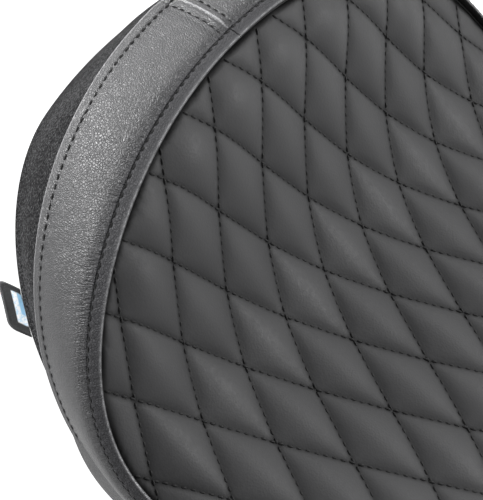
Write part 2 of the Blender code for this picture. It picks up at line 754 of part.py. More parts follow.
def build_bumpers():
    """Rubber bumpers that carry the seat on the frame rails, and their screws."""
    for i, spot in enumerate(BUMPERS):
        revolve("bumper_%d" % (i + 1),
                [(2.4, -0.4), (13.0, -0.4), (12.6, -4.0), (11.0, -12.0), (10.0, -13.0),
                 (5.4, -13.0), (5.0, -12.4), (5.0, -6.4), (2.4, -6.4)],
                RUBBER, spot, 14)
        revolve("bumper_screw_%d" % (i + 1),
                [(0.0, -9.6), (2.6, -9.4), (4.1, -8.0), (4.2, -6.8), (2.0, -6.8),
                 (2.0, PAN_T + 2.6), (0.0, PAN_T + 5.2)],
                ZINC, spot, 10)


# ================================================================== fabric tag
def skirt_foot(phi):
    """Plan point of the skirt's foot on the +X side of the rear half."""
    x, y = rear_point(phi)
    normal = left_normal(rear_point(phi + 0.5), rear_point(phi - 0.5))
    out = rear_offsets(phi)[2]
    return x + normal[0] * out, y + normal[1] * out


def build_tag():
    """Sewn-in tag at the right rear, hinged on its stitched edge."""
    foot_x, foot_y = skirt_foot(TAG_PHI)
    left_x, left_y = left_normal(skirt_foot(TAG_PHI + 4.0), skirt_foot(TAG_PHI - 4.0))
    # mirrored to the -X side: outward from the skirt, and forwards along its edge
    out_x, out_y = -left_x, left_y
    edge_x, edge_y = -left_y, -left_x
    axis = link("tag_axis", None)
    axis.location = ((-foot_x - out_x * TAG_TUCK) * MM, (foot_y - out_y * TAG_TUCK) * MM,
                     TAG_Z * MM)

    half = 0.5 * TAG_W
    # (distance from the hinge, half width)
    steps = [(0.6, half - 1.2), (2.0, half - 0.4), (TAG_L - 4.0, half),
             (TAG_L - 1.2, half - 1.3), (TAG_L, half - 4.0)]
    bm = bmesh.new()
    rings = []
    for out, width in steps:
        ring = []
        for end, up in ((-1.0, 0.5), (-1.0, -0.5), (1.0, -0.5), (1.0, 0.5)):
            across = width * end - TAG_LEAN * out
            ring.append((out_x * out + edge_x * across,
                         out_y * out + edge_y * across,
                         up * TAG_T - TAG_DROOP * out))
        rings.append(add_ring(bm, ring))
    skin_capped(bm, rings)
    tag = finish_mesh("fabric_tag", bm, TAG_FABRIC, False)
    tag.parent = axis


build_quilted_top()
build_bands()
build_skirts()
build_gel("gel_insert", GEL)
build_foam()
build_pan()
build_liners()
build_rivets()
build_tongue()
build_rear_bracket()
build_seat_screw()
build_bumpers()
build_tag()
bpy.context.view_layer.update()
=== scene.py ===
import json
import math

import bmesh
import bpy
import numpy as np
from mathutils import Matrix, Vector
from mathutils.kdtree import KDTree


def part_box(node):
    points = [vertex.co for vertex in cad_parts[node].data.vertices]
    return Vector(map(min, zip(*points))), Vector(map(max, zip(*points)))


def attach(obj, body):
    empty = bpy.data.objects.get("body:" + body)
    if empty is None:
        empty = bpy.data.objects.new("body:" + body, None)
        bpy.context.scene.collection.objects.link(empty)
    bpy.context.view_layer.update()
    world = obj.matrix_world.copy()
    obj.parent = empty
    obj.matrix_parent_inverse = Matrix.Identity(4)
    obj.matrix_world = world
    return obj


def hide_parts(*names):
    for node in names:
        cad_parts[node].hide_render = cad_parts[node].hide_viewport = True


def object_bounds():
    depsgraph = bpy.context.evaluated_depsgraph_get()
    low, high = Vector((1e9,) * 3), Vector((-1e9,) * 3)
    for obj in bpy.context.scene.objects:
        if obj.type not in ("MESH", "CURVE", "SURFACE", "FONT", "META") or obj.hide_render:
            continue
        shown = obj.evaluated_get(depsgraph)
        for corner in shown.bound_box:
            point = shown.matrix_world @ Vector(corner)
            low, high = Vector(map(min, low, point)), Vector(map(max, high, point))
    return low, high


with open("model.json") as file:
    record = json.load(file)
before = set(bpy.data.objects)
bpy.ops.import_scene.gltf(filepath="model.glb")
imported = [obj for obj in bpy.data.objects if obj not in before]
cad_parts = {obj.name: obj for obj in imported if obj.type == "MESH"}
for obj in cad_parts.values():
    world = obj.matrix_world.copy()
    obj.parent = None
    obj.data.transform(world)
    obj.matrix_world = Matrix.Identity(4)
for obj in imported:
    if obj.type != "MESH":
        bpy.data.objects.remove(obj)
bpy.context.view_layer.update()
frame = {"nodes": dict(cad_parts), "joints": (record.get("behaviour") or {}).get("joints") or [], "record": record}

# Looks of a bolt-on solo motorcycle seat: a diamond-quilted bucket, grained side
# bands with topstitching, a napped gripper skirt, a fabric tag and the hardware.
# Lengths below are millimetres in the row frame; meshes are written in metres.

MM = 0.001
nodes = frame["nodes"]


def mm_box(node):
    lo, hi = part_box(node)
    return [c / MM for c in lo], [c / MM for c in hi]


# ------------------------------------------------------------------ shape, from the CAD boxes
SEAM_GAP = 0.3
QUILT_T = 6.0
top_lo, top_hi = mm_box("cover_quilted_top")
HALF_WIDTH = top_hi[0] + SEAM_GAP
Y_WIDEST = -10.1
REAR_RUN = top_hi[1] + SEAM_GAP - Y_WIDEST
FRONT_RUN = Y_WIDEST - (top_lo[1] - SEAM_GAP)
BUCKET_Z = round(top_lo[2] + QUILT_T, 1)
REAR_EXP, NOSE_HALF, NOSE_BLEND, NOSE_EXP = 2.08, 86.0, 0.80, 2.7
REAR_RISE, REAR_LEN, FRONT_RISE, FRONT_LEN = 52.5, 161.5, 49.5, 160.4
NOSE_FALL, NOSE_FALL_LEN, DISH = 16.0, 135.0, 3.0
EDGE_DROP, EDGE_SOFT = 6.0, 17.0
BAND_DEPTH, REAR_DEPTH, NOSE_DEPTH, BAND_T = 37.5, 24.5, 33.0, 2.4
BAND_RISE, BAND_START, BAND_SPREAD, TUCK_IN = 3.2, math.radians(24.0), 0.36, 3.5
SKIRT_T, HEM = 1.6, 22.0
KICK, KICK_START, KICK_RUN = 30.0, 100.0, 150.0


def smooth(a, b, v):
    t = np.clip((np.asarray(v, float) - a) / (b - a), 0.0, 1.0)
    return t * t * (3.0 - 2.0 * t)


def crown(x, y):
    x, y = np.asarray(x, float), np.asarray(y, float)
    rear = 0.5 * REAR_RISE * (1.0 - np.cos(np.pi * np.clip(y / REAR_LEN, 0.0, 1.0)))
    front = 0.5 * FRONT_RISE * (1.0 - np.cos(np.pi * np.clip(-y / FRONT_LEN, 0.0, 1.0)))
    front = front - NOSE_FALL * smooth(0.0, 1.0, (-y - FRONT_LEN) / NOSE_FALL_LEN)
    return np.where(y > 0, rear, front) + DISH * (x / 100.0) ** 2


def base_z(y):
    return KICK * smooth(KICK_START, KICK_START + KICK_RUN, -np.asarray(y, float))


def surface(x, y, d):
    return BUCKET_Z + crown(x, y) - EDGE_DROP * np.exp(-(np.maximum(d, 0.0) / EDGE_SOFT) ** 2)


def dense_half():
    """The quilt seam from the rear centre round the +X side to the nose, finely sampled."""
    phi = np.radians(np.linspace(90.0, 0.0, 2401))
    c, s = np.cos(phi), np.sin(phi)
    r = 1.0 / ((np.abs(c) / HALF_WIDTH) ** REAR_EXP + (np.abs(s) / REAR_RUN) ** REAR_EXP) ** (1.0 / REAR_EXP)
    rear = np.column_stack([r * c, Y_WIDEST + r * s])
    t = 1.0 - (1.0 - np.linspace(0.0, 1.0, 4001)) ** 2.5
    w = NOSE_HALF + (HALF_WIDTH - NOSE_HALF) * 0.5 * (1.0 + np.cos(np.pi * np.minimum(t / NOSE_BLEND, 1.0)))
    front = np.column_stack([w * np.maximum(1.0 - t ** NOSE_EXP, 0.0) ** (1.0 / NOSE_EXP), Y_WIDEST - t * FRONT_RUN])
    rear[0, 0] = 0.0
    front[-1, 0] = 0.0
    return np.vstack([rear, front[1:]]), len(rear) - 1


DENSE, DENSE_TURN = dense_half()
DENSE_RUN = np.concatenate([[0.0], np.cumsum(np.hypot(*np.diff(DENSE, axis=0).T))])
RUN_TURN, RUN_END = DENSE_RUN[DENSE_TURN], DENSE_RUN[-1]


def stations(runs):
    """Points, outward normals and cover offsets at distances along the half seam."""
    runs = np.asarray(runs, float)
    x = np.interp(runs, DENSE_RUN, DENSE[:, 0])
    y = np.interp(runs, DENSE_RUN, DENSE[:, 1])
    e = 2.0
    lo, hi = np.clip(runs - e, 0, RUN_END), np.clip(runs + e, 0, RUN_END)
    dx = np.interp(hi, DENSE_RUN, DENSE[:, 0]) - np.interp(lo, DENSE_RUN, DENSE[:, 0])
    dy = np.interp(hi, DENSE_RUN, DENSE[:, 1]) - np.interp(lo, DENSE_RUN, DENSE[:, 1])
    # the curve meets the centre plane square on
    near0, near1 = smooth(0.0, 6.0, runs), smooth(0.0, 6.0, RUN_END - runs)
    length = np.hypot(dx, dy)
    tx, ty = dx / length, dy / length
    ty = ty * near0 * near1
    length = np.hypot(tx, ty)
    tx, ty = tx / length, ty / length
    nx, ny = -ty, tx
    phi = np.degrees(np.arctan2(y - Y_WIDEST, np.maximum(x, 1e-9)))
    f = (runs - RUN_TURN) / (RUN_END - RUN_TURN)
    rear = runs <= RUN_TURN
    g = np.where(rear, 1.0 - np.abs(np.cos(np.radians(np.clip(phi, 0, 90)))) ** 4.5, 0.0)
    h = np.where(rear, 0.0, smooth(0.5, 1.0, f))
    st = {
        "run": runs, "x": x, "y": y, "nx": nx, "ny": ny,
        "band": -4.5 + 40.0 * g + 12.5 * h,
        "turn": np.radians(np.where(rear, 105.0 - 50.0 * smooth(14.0, 85.0, phi), 105.0 - 17.0 * h)),
        "skirt": np.where(rear, -14.0 + 44.0 * smooth(5.0, 68.0, phi), -14.0 + 14.0 * h),
        "depth": np.where(rear, BAND_DEPTH + (REAR_DEPTH - BAND_DEPTH) * smooth(25.0, 66.0, phi),
                          BAND_DEPTH + (NOSE_DEPTH - BAND_DEPTH) * smooth(0.3, 1.0, f)),
    }
    st["zq"] = BUCKET_Z + crown(x, y) - EDGE_DROP
    return st


# a fine closed outline for distance queries
_out = stations(np.linspace(0.0, RUN_END, 1500))
OUTLINE = np.vstack([np.column_stack([_out["x"], _out["y"]]), np.column_stack([-_out["x"], _out["y"]])[::-1][1:-1]])
OUT_NORMAL = np.vstack([np.column_stack([_out["nx"], _out["ny"]]), np.column_stack([-_out["nx"], _out["ny"]])[::-1][1:-1]])
_tree = KDTree(len(OUTLINE))
for _i, _p in enumerate(OUTLINE):
    _tree.insert((_p[0], _p[1], 0.0), _i)
_tree.balance()


def inside_distance(xy):
    """Signed distance to the quilt seam, positive inside, and the nearest outline index."""
    out = np.empty(len(xy))
    idx = np.empty(len(xy), int)
    for k, (x, y) in enumerate(xy):
        _, i, _ = _tree.find((x, y, 0.0))
        rel = np.array([x, y]) - OUTLINE[i]
        out[k] = -float(rel @ OUT_NORMAL[i])
        idx[k] = i
    return out, idx


# ------------------------------------------------------------------ node helpers
def srgb(v):
    return tuple(((c / 12.92) if c <= 0.04045 else ((c + 0.055) / 1.055) ** 2.4) for c in v)


class Mat:
    """Small helper that wires a procedural Principled material."""

    def __init__(self, name):
        self.mat = bpy.data.materials.new(name)
        self.mat.use_nodes = True
        self.nt = self.mat.node_tree
        self.bsdf = self.nt.nodes["Principled BSDF"]
        self.coord = self.nt.nodes.new("ShaderNodeTexCoord").outputs["Object"]
        self.height = None

    def link(self, a, b):
        self.nt.links.new(a, b)

    def node(self, kind, **values):
        n = self.nt.nodes.new(kind)
        for key, val in values.items():
            setattr(n, key, val)
        return n

    def noise(self, scale, detail=4.0, rough=0.55, coord=None, distortion=0.0):
        n = self.node("ShaderNodeTexNoise")
        self.link(coord or self.coord, n.inputs["Vector"])
        n.inputs["Scale"].default_value = scale
        n.inputs["Detail"].default_value = detail
        n.inputs["Roughness"].default_value = rough
        n.inputs["Distortion"].default_value = distortion
        return n.outputs["Fac"]

    def voronoi(self, scale, feature='F1', coord=None, rand=1.0, smoothness=None, out="Distance"):
        n = self.node("ShaderNodeTexVoronoi")
        n.feature = feature
        self.link(coord or self.coord, n.inputs["Vector"])
        n.inputs["Scale"].default_value = scale
        n.inputs["Randomness"].default_value = rand
        if smoothness is not None and "Smoothness" in n.inputs:
            n.inputs["Smoothness"].default_value = smoothness
        return n.outputs[out]

    def warp(self, scale, amount):
        """Object coordinates pushed about by noise."""
        n = self.node("ShaderNodeTexNoise")
        self.link(self.coord, n.inputs["Vector"])
        n.inputs["Scale"].default_value = scale
        n.inputs["Detail"].default_value = 2.0
        sub = self.node("ShaderNodeVectorMath", operation='SUBTRACT')
        self.link(n.outputs["Color"], sub.inputs[0])
        sub.inputs[1].default_value = (0.5, 0.5, 0.5)
        mul = self.node("ShaderNodeVectorMath", operation='SCALE')
        self.link(sub.outputs[0], mul.inputs[0])
        mul.inputs["Scale"].default_value = amount
        add = self.node("ShaderNodeVectorMath", operation='ADD')
        self.link(self.coord, add.inputs[0])
        self.link(mul.outputs[0], add.inputs[1])
        return add.outputs[0]

    def stretch(self, x, y, z, coord=None):
        m = self.node("ShaderNodeMapping")
        self.link(coord or self.coord, m.inputs["Vector"])
        m.inputs["Scale"].default_value = (x, y, z)
        return m.outputs[0]

    def math(self, op, a, b=None, c=None, clamp=False):
        n = self.node("ShaderNodeMath", operation=op, use_clamp=clamp)
        for k, v in enumerate((a, b, c)):
            if v is None:
                continue
            if hasattr(v, "links"):
                self.link(v, n.inputs[k])
            else:
                n.inputs[k].default_value = v
        return n.outputs[0]

    def ramp(self, fac, stops):
        n = self.node("ShaderNodeValToRGB")
        self.link(fac, n.inputs["Fac"])
        while len(n.color_ramp.elements) < len(stops):
            n.color_ramp.elements.new(0.5)
        for el, (pos, col) in zip(n.color_ramp.elements, stops):
            el.position = pos
            el.color = (*col, 1.0) if len(col) == 3 else col
        return n.outputs["Color"]

    def rng(self, v, a, b, c, d):
        n = self.node("ShaderNodeMapRange")
        self.link(v, n.inputs["Value"])
        for key, val in zip(("From Min", "From Max", "To Min", "To Max"), (a, b, c, d)):
            n.inputs[key].default_value = val
        return n.outputs["Result"]

    def attribute(self, name):
        n = self.node("ShaderNodeAttribute")
        n.attribute_name = name
        return n.outputs["Fac"]

    def colour(self, col):
        if hasattr(col, "links"):
            self.link(col, self.bsdf.inputs["Base Color"])
        else:
            self.bsdf.inputs["Base Color"].default_value = (*col, 1.0)

    def set(self, **values):
        for key, val in values.items():
            sock = self.bsdf.inputs[key.replace("_", " ")]
            if hasattr(val, "links"):
                self.link(val, sock)
            else:
                sock.default_value = val

    def bump(self, height, strength, dist):
        n = self.node("ShaderNodeBump")
        self.link(height, n.inputs["Height"])
        n.inputs["Strength"].default_value = strength
        n.inputs["Distance"].default_value = dist
        if self.height is not None:
            self.link(self.height, n.inputs["Normal"])
        self.height = n.outputs["Normal"]
        self.link(self.height, self.bsdf.inputs["Normal"])


def shade_mix(m, fac, dark, light):
    return m.ramp(fac, [(0.0, dark), (1.0, light)])


def make_quilt_vinyl():
    m = Mat("quilt_vinyl")
    pillow = m.attribute("pillow")
    broad = m.noise(9.0, 3.0)
    fine = m.noise(420.0, 3.0)
    v = m.math('ADD', m.math('MULTIPLY', broad, 0.5), m.math('MULTIPLY', fine, 0.25))
    # painted shading: the pillow crowns are coloured lighter than their flanks
    v = m.math('ADD', v, m.math('MULTIPLY', pillow, 0.30))
    m.colour(m.ramp(v, [(0.10, (0.024, 0.024, 0.025)), (0.55, (0.054, 0.054, 0.056)), (0.95, (0.072, 0.072, 0.074))]))
    body = m.bsdf.inputs["Base Color"].links[0].from_socket
    # painted shade: the stitch-line valleys are mixed towards near black, and painted shadow in a band beside the edge
    # seam
    shadow = m.math('MAXIMUM', m.math('MULTIPLY', m.math('POWER', m.attribute("valley"), 1.6), 0.62),
                    m.math('MULTIPLY', m.attribute("rim"), 0.92), clamp=True)
    mix = m.node("ShaderNodeMix", data_type='RGBA')
    m.link(shadow, mix.inputs["Factor"])
    m.link(body, mix.inputs[6])
    mix.inputs[7].default_value = (0.003, 0.003, 0.003, 1.0)
    m.colour(mix.outputs[2])
    m.set(Roughness=m.rng(m.math('ADD', fine, m.math('MULTIPLY', pillow, -0.25)), 0.1, 0.8, 0.46, 0.66),
          IOR=1.46, Sheen_Weight=0.05, Sheen_Roughness=0.5, Specular_IOR_Level=m.rng(shadow, 0.0, 1.0, 0.5, 0.10))
    warped = m.warp(260.0, 0.0009)
    cells = m.voronoi(880.0, 'F1', coord=warped)
    m.bump(cells, 0.22, 0.00022)
    m.bump(m.noise(2300.0, 3.0), 0.12, 0.00012)
    m.bump(m.noise(60.0, 3.0, 0.5), 0.10, 0.0010)
    return m.mat


def make_band_vinyl():
    m = Mat("band_vinyl")
    broad = m.noise(7.0, 3.0)
    warped = m.warp(170.0, 0.0020)
    cells = m.voronoi(860.0, 'DISTANCE_TO_EDGE', coord=warped)
    crease = m.rng(cells, 0.0, 0.22, 0.0, 1.0)
    # the edge attribute lightens the raised strip beside the seam and the strip along the lower edge: rubbed wear and
    # painted highlight
    wear = m.attribute("edge")
    v = m.math('ADD', m.math('MULTIPLY', broad, 0.55), m.math('MULTIPLY', crease, 0.30))
    v = m.math('ADD', v, m.math('MULTIPLY', wear, 0.30))
    m.colour(m.ramp(v, [(0.10, (0.009, 0.009, 0.010)), (0.60, (0.022, 0.022, 0.0235)), (1.0, (0.038, 0.038, 0.040))]))
    body = m.bsdf.inputs["Base Color"].links[0].from_socket
    fold, dark = m.attribute("fold"), m.attribute("dark")
    # painted highlight: the fold attribute mixes light grey in along the folded edges and the rear centre seam ridge
    mix = m.node("ShaderNodeMix", data_type='RGBA')
    m.link(m.math('MULTIPLY', fold, m.rng(m.noise(380.0, 3.0), 0.35, 0.6, 0.45, 1.0), clamp=True), mix.inputs["Factor"])
    m.link(body, mix.inputs[6])
    mix.inputs[7].default_value = (0.33, 0.33, 0.34, 1.0)
    # painted shadow: the dark attribute mixes the lip wall in the seam gap to near black
    mix2 = m.node("ShaderNodeMix", data_type='RGBA')
    m.link(dark, mix2.inputs["Factor"])
    m.link(mix.outputs[2], mix2.inputs[6])
    mix2.inputs[7].default_value = (0.002, 0.002, 0.002, 1.0)
    m.colour(mix2.outputs[2])
    m.set(Roughness=m.rng(m.math('ADD', m.noise(130.0, 3.0), m.math('MULTIPLY', crease, -0.35)), -0.2, 0.7, 0.39, 0.53),
          IOR=1.55)
    m.bump(crease, 0.50, 0.00034)
    m.bump(m.voronoi(1900.0, 'F1', coord=warped), 0.25, 0.00018)
    wrinkles = m.noise(230.0, 4.0, 0.6, coord=m.stretch(1.0, 1.0, 2.6, coord=warped))
    m.bump(wrinkles, 0.20, 0.0009)
    near_row = m.math('POWER', 2.718, m.math('MULTIPLY', m.math('POWER', m.math('MULTIPLY', m.math('MAXIMUM', m.attribute("across"), 0.0), 0.25), 2.0), -1.0))
    dull = m.math('MULTIPLY', near_row, m.math('SUBTRACT', 1.0, fold), clamp=True)
    m.set(Specular_IOR_Level=m.rng(dull, 0.0, 1.0, 0.5, 0.08))
    # short creases that run square to the upper row and die out a centimetre from it
    along, across = m.attribute("along"), m.attribute("across")
    pos = m.node("ShaderNodeCombineXYZ")
    m.link(m.math('MULTIPLY', along, 0.95), pos.inputs[0])
    m.link(m.math('MULTIPLY', across, 0.16), pos.inputs[1])
    crease_lines = m.noise(1.0, 2.5, 0.6, coord=pos.outputs[0], distortion=0.6)
    reach = m.math('POWER', 2.718, m.math('MULTIPLY', m.math('MAXIMUM', m.math('SUBTRACT', across, 0.8), 0.0), -0.22))
    m.bump(m.math('MULTIPLY', crease_lines, m.math('MULTIPLY', reach, m.rng(across, 0.3, 1.2, 0.0, 1.0))), 0.85, 0.0022)
    return m.mat


def make_gripper():
    m = Mat("gripper_fabric")
    mott = m.noise(850.0, 2.0, 0.7)
    broad = m.noise(14.0, 3.0)
    v = m.math('ADD', m.math('MULTIPLY', mott, 0.8), m.math('MULTIPLY', broad, 0.3))
    m.colour(m.ramp(v, [(0.46, (0.010, 0.010, 0.011)), (0.57, (0.045, 0.045, 0.047)), (0.68, (0.150, 0.150, 0.155))]))
    m.set(Roughness=0.96, Sheen_Weight=0.0, Specular_IOR_Level=0.12)
    m.bump(m.noise(620.0, 4.0, 0.75), 0.80, 0.00070)
    m.bump(m.voronoi(900.0, 'F1'), 0.45, 0.00040)
    return m.mat


def make_thread():
    m = Mat("bonded_thread")
    v = m.noise(700.0, 3.0)
    m.colour(m.ramp(v, [(0.35, (0.0035, 0.0035, 0.0035)), (0.75, (0.010, 0.010, 0.011))]))
    m.set(Roughness=0.60, Sheen_Weight=0.05)
    m.bump(m.noise(4200.0, 2.0, coord=m.stretch(1.0, 1.0, 0.4)), 0.35, 0.0002)
    return m.mat


def make_tag():
    m = Mat("tag_fabric")
    u, v = m.attribute("tag_u"), m.attribute("tag_v")
    # plain woven bands on a dark satin ground: off-white, a gap, light blue
    def stripe(lo, hi, soft=0.02):
        a = m.rng(v, lo - soft, lo + soft, 0.0, 1.0)
        b = m.rng(v, hi - soft, hi + soft, 1.0, 0.0)
        return m.math('MULTIPLY', a, b, clamp=True)
    inside = m.math('MULTIPLY', m.rng(u, 0.20, 0.23, 0.0, 1.0), m.rng(u, 0.84, 0.87, 1.0, 0.0), clamp=True)
    weave = m.math('MULTIPLY', m.math('SINE', m.math('MULTIPLY', u, 260.0)), m.math('SINE', m.math('MULTIPLY', v, 170.0)))
    white = m.math('MULTIPLY', stripe(0.02, 0.50), inside)
    fleck = m.rng(m.noise(520.0, 3.0, 0.7), 0.50, 0.56, 0.0, 1.0)
    blue = m.math('MULTIPLY', m.math('MAXIMUM', m.math('MULTIPLY', stripe(0.02, 0.24), m.rng(u, 0.40, 0.44, 0.0, 1.0)),
                                     m.math('MULTIPLY', fleck, 0.55)), white, clamp=True)
    ground = m.ramp(m.math('ADD', m.noise(1200.0), m.math('MULTIPLY', weave, 0.12)),
                    [(0.3, (0.005, 0.005, 0.006)), (0.7, (0.020, 0.021, 0.023))])
    mix1 = m.node("ShaderNodeMix", data_type='RGBA')
    m.link(white, mix1.inputs["Factor"])
    m.link(ground, mix1.inputs[6])
    mix1.inputs[7].default_value = (0.84, 0.86, 0.88, 1.0)
    mix2 = m.node("ShaderNodeMix", data_type='RGBA')
    m.link(blue, mix2.inputs["Factor"])
    m.link(mix1.outputs[2], mix2.inputs[6])
    mix2.inputs[7].default_value = (0.30, 0.58, 0.82, 1.0)
    m.colour(mix2.outputs[2])
    m.set(Roughness=0.62, Sheen_Weight=0.3)
    m.bump(m.math('ADD', weave, m.math('MULTIPLY', m.noise(2500.0), 1.2)), 0.35, 0.00020)
    return m.mat


def make_pan():
    m = Mat("pan_plastic")
    v = m.noise(10.0, 3.0)
    m.colour(shade_mix(m, v, (0.014, 0.014, 0.015), (0.032, 0.032, 0.034)))
    m.set(Roughness=m.rng(m.noise(60.0, 4.0), 0.2, 0.8, 0.42, 0.62))
    m.bump(m.voronoi(520.0, 'SMOOTH_F1', coord=m.warp(300.0, 0.0012), smoothness=0.6), 0.45, 0.00040)
    m.bump(m.noise(1800.0, 3.0), 0.15, 0.00015)
    return m.mat


def make_felt():
    m = Mat("felt_liner")
    fibres = m.noise(700.0, 6.0, 0.8, coord=m.warp(120.0, 0.006))
    m.colour(m.ramp(fibres, [(0.30, (0.018, 0.018, 0.020)), (0.60, (0.045, 0.045, 0.048)), (0.85, (0.085, 0.085, 0.088))]))
    m.set(Roughness=0.98, Sheen_Weight=0.6, Sheen_Roughness=0.6)
    m.bump(fibres, 0.8, 0.0008)
    return m.mat


def make_coated():
    m = Mat("coated_steel")
    wear = m.noise(35.0, 5.0, 0.7)
    m.colour(m.ramp(wear, [(0.30, (0.012, 0.012, 0.013)), (0.72, (0.026, 0.026, 0.028)), (0.86, (0.060, 0.060, 0.062))]))
    m.set(Roughness=m.rng(wear, 0.3, 0.8, 0.34, 0.52), Metallic=0.15, Coat_Weight=0.25, Coat_Roughness=0.25)
    m.bump(m.noise(650.0, 2.0, 0.4), 0.28, 0.00030)
    return m.mat


def make_zinc():
    m = Mat("zinc_steel")
    spangle = m.voronoi(420.0, 'F1', out="Color")
    tint = m.noise(55.0, 4.0)
    m.colour(m.ramp(tint, [(0.25, (0.42, 0.42, 0.43)), (0.55, (0.60, 0.60, 0.61)), (0.85, (0.66, 0.64, 0.56))]))
    m.set(Metallic=1.0, Roughness=m.rng(m.noise(300.0, 3.0), 0.2, 0.8, 0.24, 0.44))
    m.bump(spangle, 0.06, 0.0002)
    m.bump(m.noise(900.0, 4.0, coord=m.stretch(1.0, 1.0, 0.15)), 0.10, 0.0002)
    return m.mat


def make_rubber():
    m = Mat("bumper_rubber")
    v = m.noise(90.0, 4.0)
    m.colour(m.ramp(v, [(0.3, (0.010, 0.010, 0.010)), (0.8, (0.030, 0.029, 0.028))]))
    m.set(Roughness=m.rng(v, 0.2, 0.8, 0.68, 0.88))
    m.bump(m.noise(1300.0, 3.0), 0.25, 0.0003)
    return m.mat


def make_nylon():
    m = Mat("nylon")
    v = m.noise(120.0, 3.0)
    m.colour(m.ramp(v, [(0.2, (0.58, 0.57, 0.51)), (0.8, (0.72, 0.71, 0.66))]))
    m.set(Roughness=0.42, Subsurface_Weight=0.15)
    m.bump(m.noise(800.0, 3.0), 0.12, 0.0002)
    return m.mat


def make_foam():
    m = Mat("moulded_foam")
    cells = m.voronoi(650.0, 'F1')
    v = m.math('ADD', m.noise(20.0, 4.0), m.math('MULTIPLY', cells, 0.4))
    m.colour(m.ramp(v, [(0.3, (0.20, 0.18, 0.14)), (0.9, (0.42, 0.39, 0.32))]))
    m.set(Roughness=0.95, Subsurface_Weight=0.05)
    m.bump(cells, 0.6, 0.0006)
    return m.mat


def make_gel():
    m = Mat("gel_pad")
    v = m.noise(40.0, 4.0)
    m.colour(m.ramp(v, [(0.2, (0.05, 0.14, 0.32)), (0.8, (0.10, 0.26, 0.48))]))
    m.set(Roughness=0.22, Transmission_Weight=0.25, IOR=1.42)
    m.bump(m.noise(220.0, 3.0), 0.15, 0.0006)
    return m.mat


MATS = {
    "quilt_vinyl": make_quilt_vinyl(), "band_vinyl": make_band_vinyl(), "gripper_fabric": make_gripper(),
    "thread": make_thread(), "tag_fabric": make_tag(), "pan_plastic": make_pan(), "felt_liner": make_felt(),
    "coated_steel": make_coated(), "zinc_steel": make_zinc(), "bumper_rubber": make_rubber(), "nylon": make_nylon(),
    "moulded_foam": make_foam(), "gel_pad": make_gel(),
}

slot_of = {s["node"]: s["material_slot"] for s in frame["record"]["subparts"]}
for name, obj in nodes.items():
    if slot_of.get(name) in MATS:
        obj.data.materials.clear()
        obj.data.materials.append(MATS[slot_of[name]])


# ------------------------------------------------------------------ mesh helpers
def new_object(name, verts, faces, mat, smooth_shade=True, attrs=None):
    mesh = bpy.data.meshes.new(name)
    mesh.from_pydata([tuple(v) for v in (np.asarray(verts) * MM)], [], [tuple(int(i) for i in f) for f in faces])
    mesh.update()
    for key, values in (attrs or {}).items():
        att = mesh.attributes.new(key, 'FLOAT', 'POINT')
        att.data.foreach_set("value", np.asarray(values, np.float32))
    if smooth_shade:
        mesh.shade_smooth()
    mesh.materials.append(mat)
    obj = bpy.data.objects.new(name, mesh)
    bpy.context.scene.collection.objects.link(obj)
    return obj


def outward(obj):
    """Turns the faces of a closed mesh outward."""
    bm = bmesh.new()
    bm.from_mesh(obj.data)
    bmesh.ops.recalc_face_normals(bm, faces=bm.faces)
    if bm.calc_volume(signed=True) < 0:
        bmesh.ops.reverse_faces(bm, faces=bm.faces)
    bm.to_mesh(obj.data)
    bm.free()
    obj.data.update()
    return obj


def rng_noise(points, scale, seed=0.0):
    """Smooth pseudo-random field from a few fixed sine waves, -1 to 1."""
    p = np.asarray(points, float) / scale
    out = np.zeros(len(p))
    k = 1.0
    for a, b, c, ph, w in ((1.0, 0.35, 0.2, 0.3, 1.0), (-0.45, 1.1, 0.3, 1.7, 0.9), (0.8, -0.9, 0.5, 2.9, 0.7),
                           (1.9, 1.3, -0.8, 4.1, 0.45), (-2.3, 0.9, 1.1, 0.9, 0.35), (0.7, 2.7, -1.6, 5.2, 0.3)):
        z = p[:, 2] if p.shape[1] > 2 else 0.0
        out += w * np.sin(2 * np.pi * (a * p[:, 0] + b * p[:, 1] + c * z) * 0.5 + ph + seed * k)
        k += 0.77
    return out / 2.4


# ------------------------------------------------------------------ quilting lattice
LATTICE_X = 18.0
LATTICE_Y = 34.15
LATTICE_Y0 = 29.8


def lattice_xy(i, j):
    """Plan position of quilting coordinates; stitch lines run at whole i and whole j."""
    u, v = i + j - 2.0, i - j
    U = u / 9.0
    V = v / 4.0
    Vs = np.where(np.abs(V) <= 1.0, V, np.sign(V) * (1.0 + 0.35 * np.tanh((np.abs(V) - 1.0) / 0.35)))
    x = LATTICE_X * u * (1 + 0.025 * U ** 2 - 0.044 * Vs + 0.072 * Vs ** 2 - 0.0075 * U ** 2 * Vs)
    x = x + LATTICE_X * (0.064 * Vs + 0.206 * Vs ** 2) * 0.9
    y = LATTICE_Y0 - LATTICE_Y * (v + 0.139 * Vs ** 2 + 0.057 * U ** 2 - 0.092 * U ** 2 * Vs - 0.203 * Vs ** 3
                                  + 0.021 * U - 0.078 * U * Vs)
    return x, y


VALLEY = 0.8          # stitched valley below the panel's nominal surface
PUFF = 3.9            # pillow height above the valley
EDGE_IN = 0.55        # the panel turns down this far inside the seam


def frac_dist(a):
    """Distance to the nearest whole number."""
    return np.abs(a - np.round(a))


def pillow_height(i, j, d):
    """Analytic puff: rounded pillow, pinched to a narrow valley along each stitch line."""
    si, sj = np.sin(np.pi * i) ** 2, np.sin(np.pi * j) ** 2
    body = (si * sj) ** 0.24
    broad = (si * sj) ** 0.5
    p = 0.60 * body + 0.40 * broad
    return p * (1.0 - 0.55 * np.exp(-(np.maximum(d, 0.0) / 9.0) ** 2))


def seam_pinch(d):
    """The panel dips where it is drawn into the edge seam."""
    return 0.8 * np.exp(-(np.maximum(d, 0.0) / 2.2) ** 2)


K = 12                # cells per diamond side before subdivision


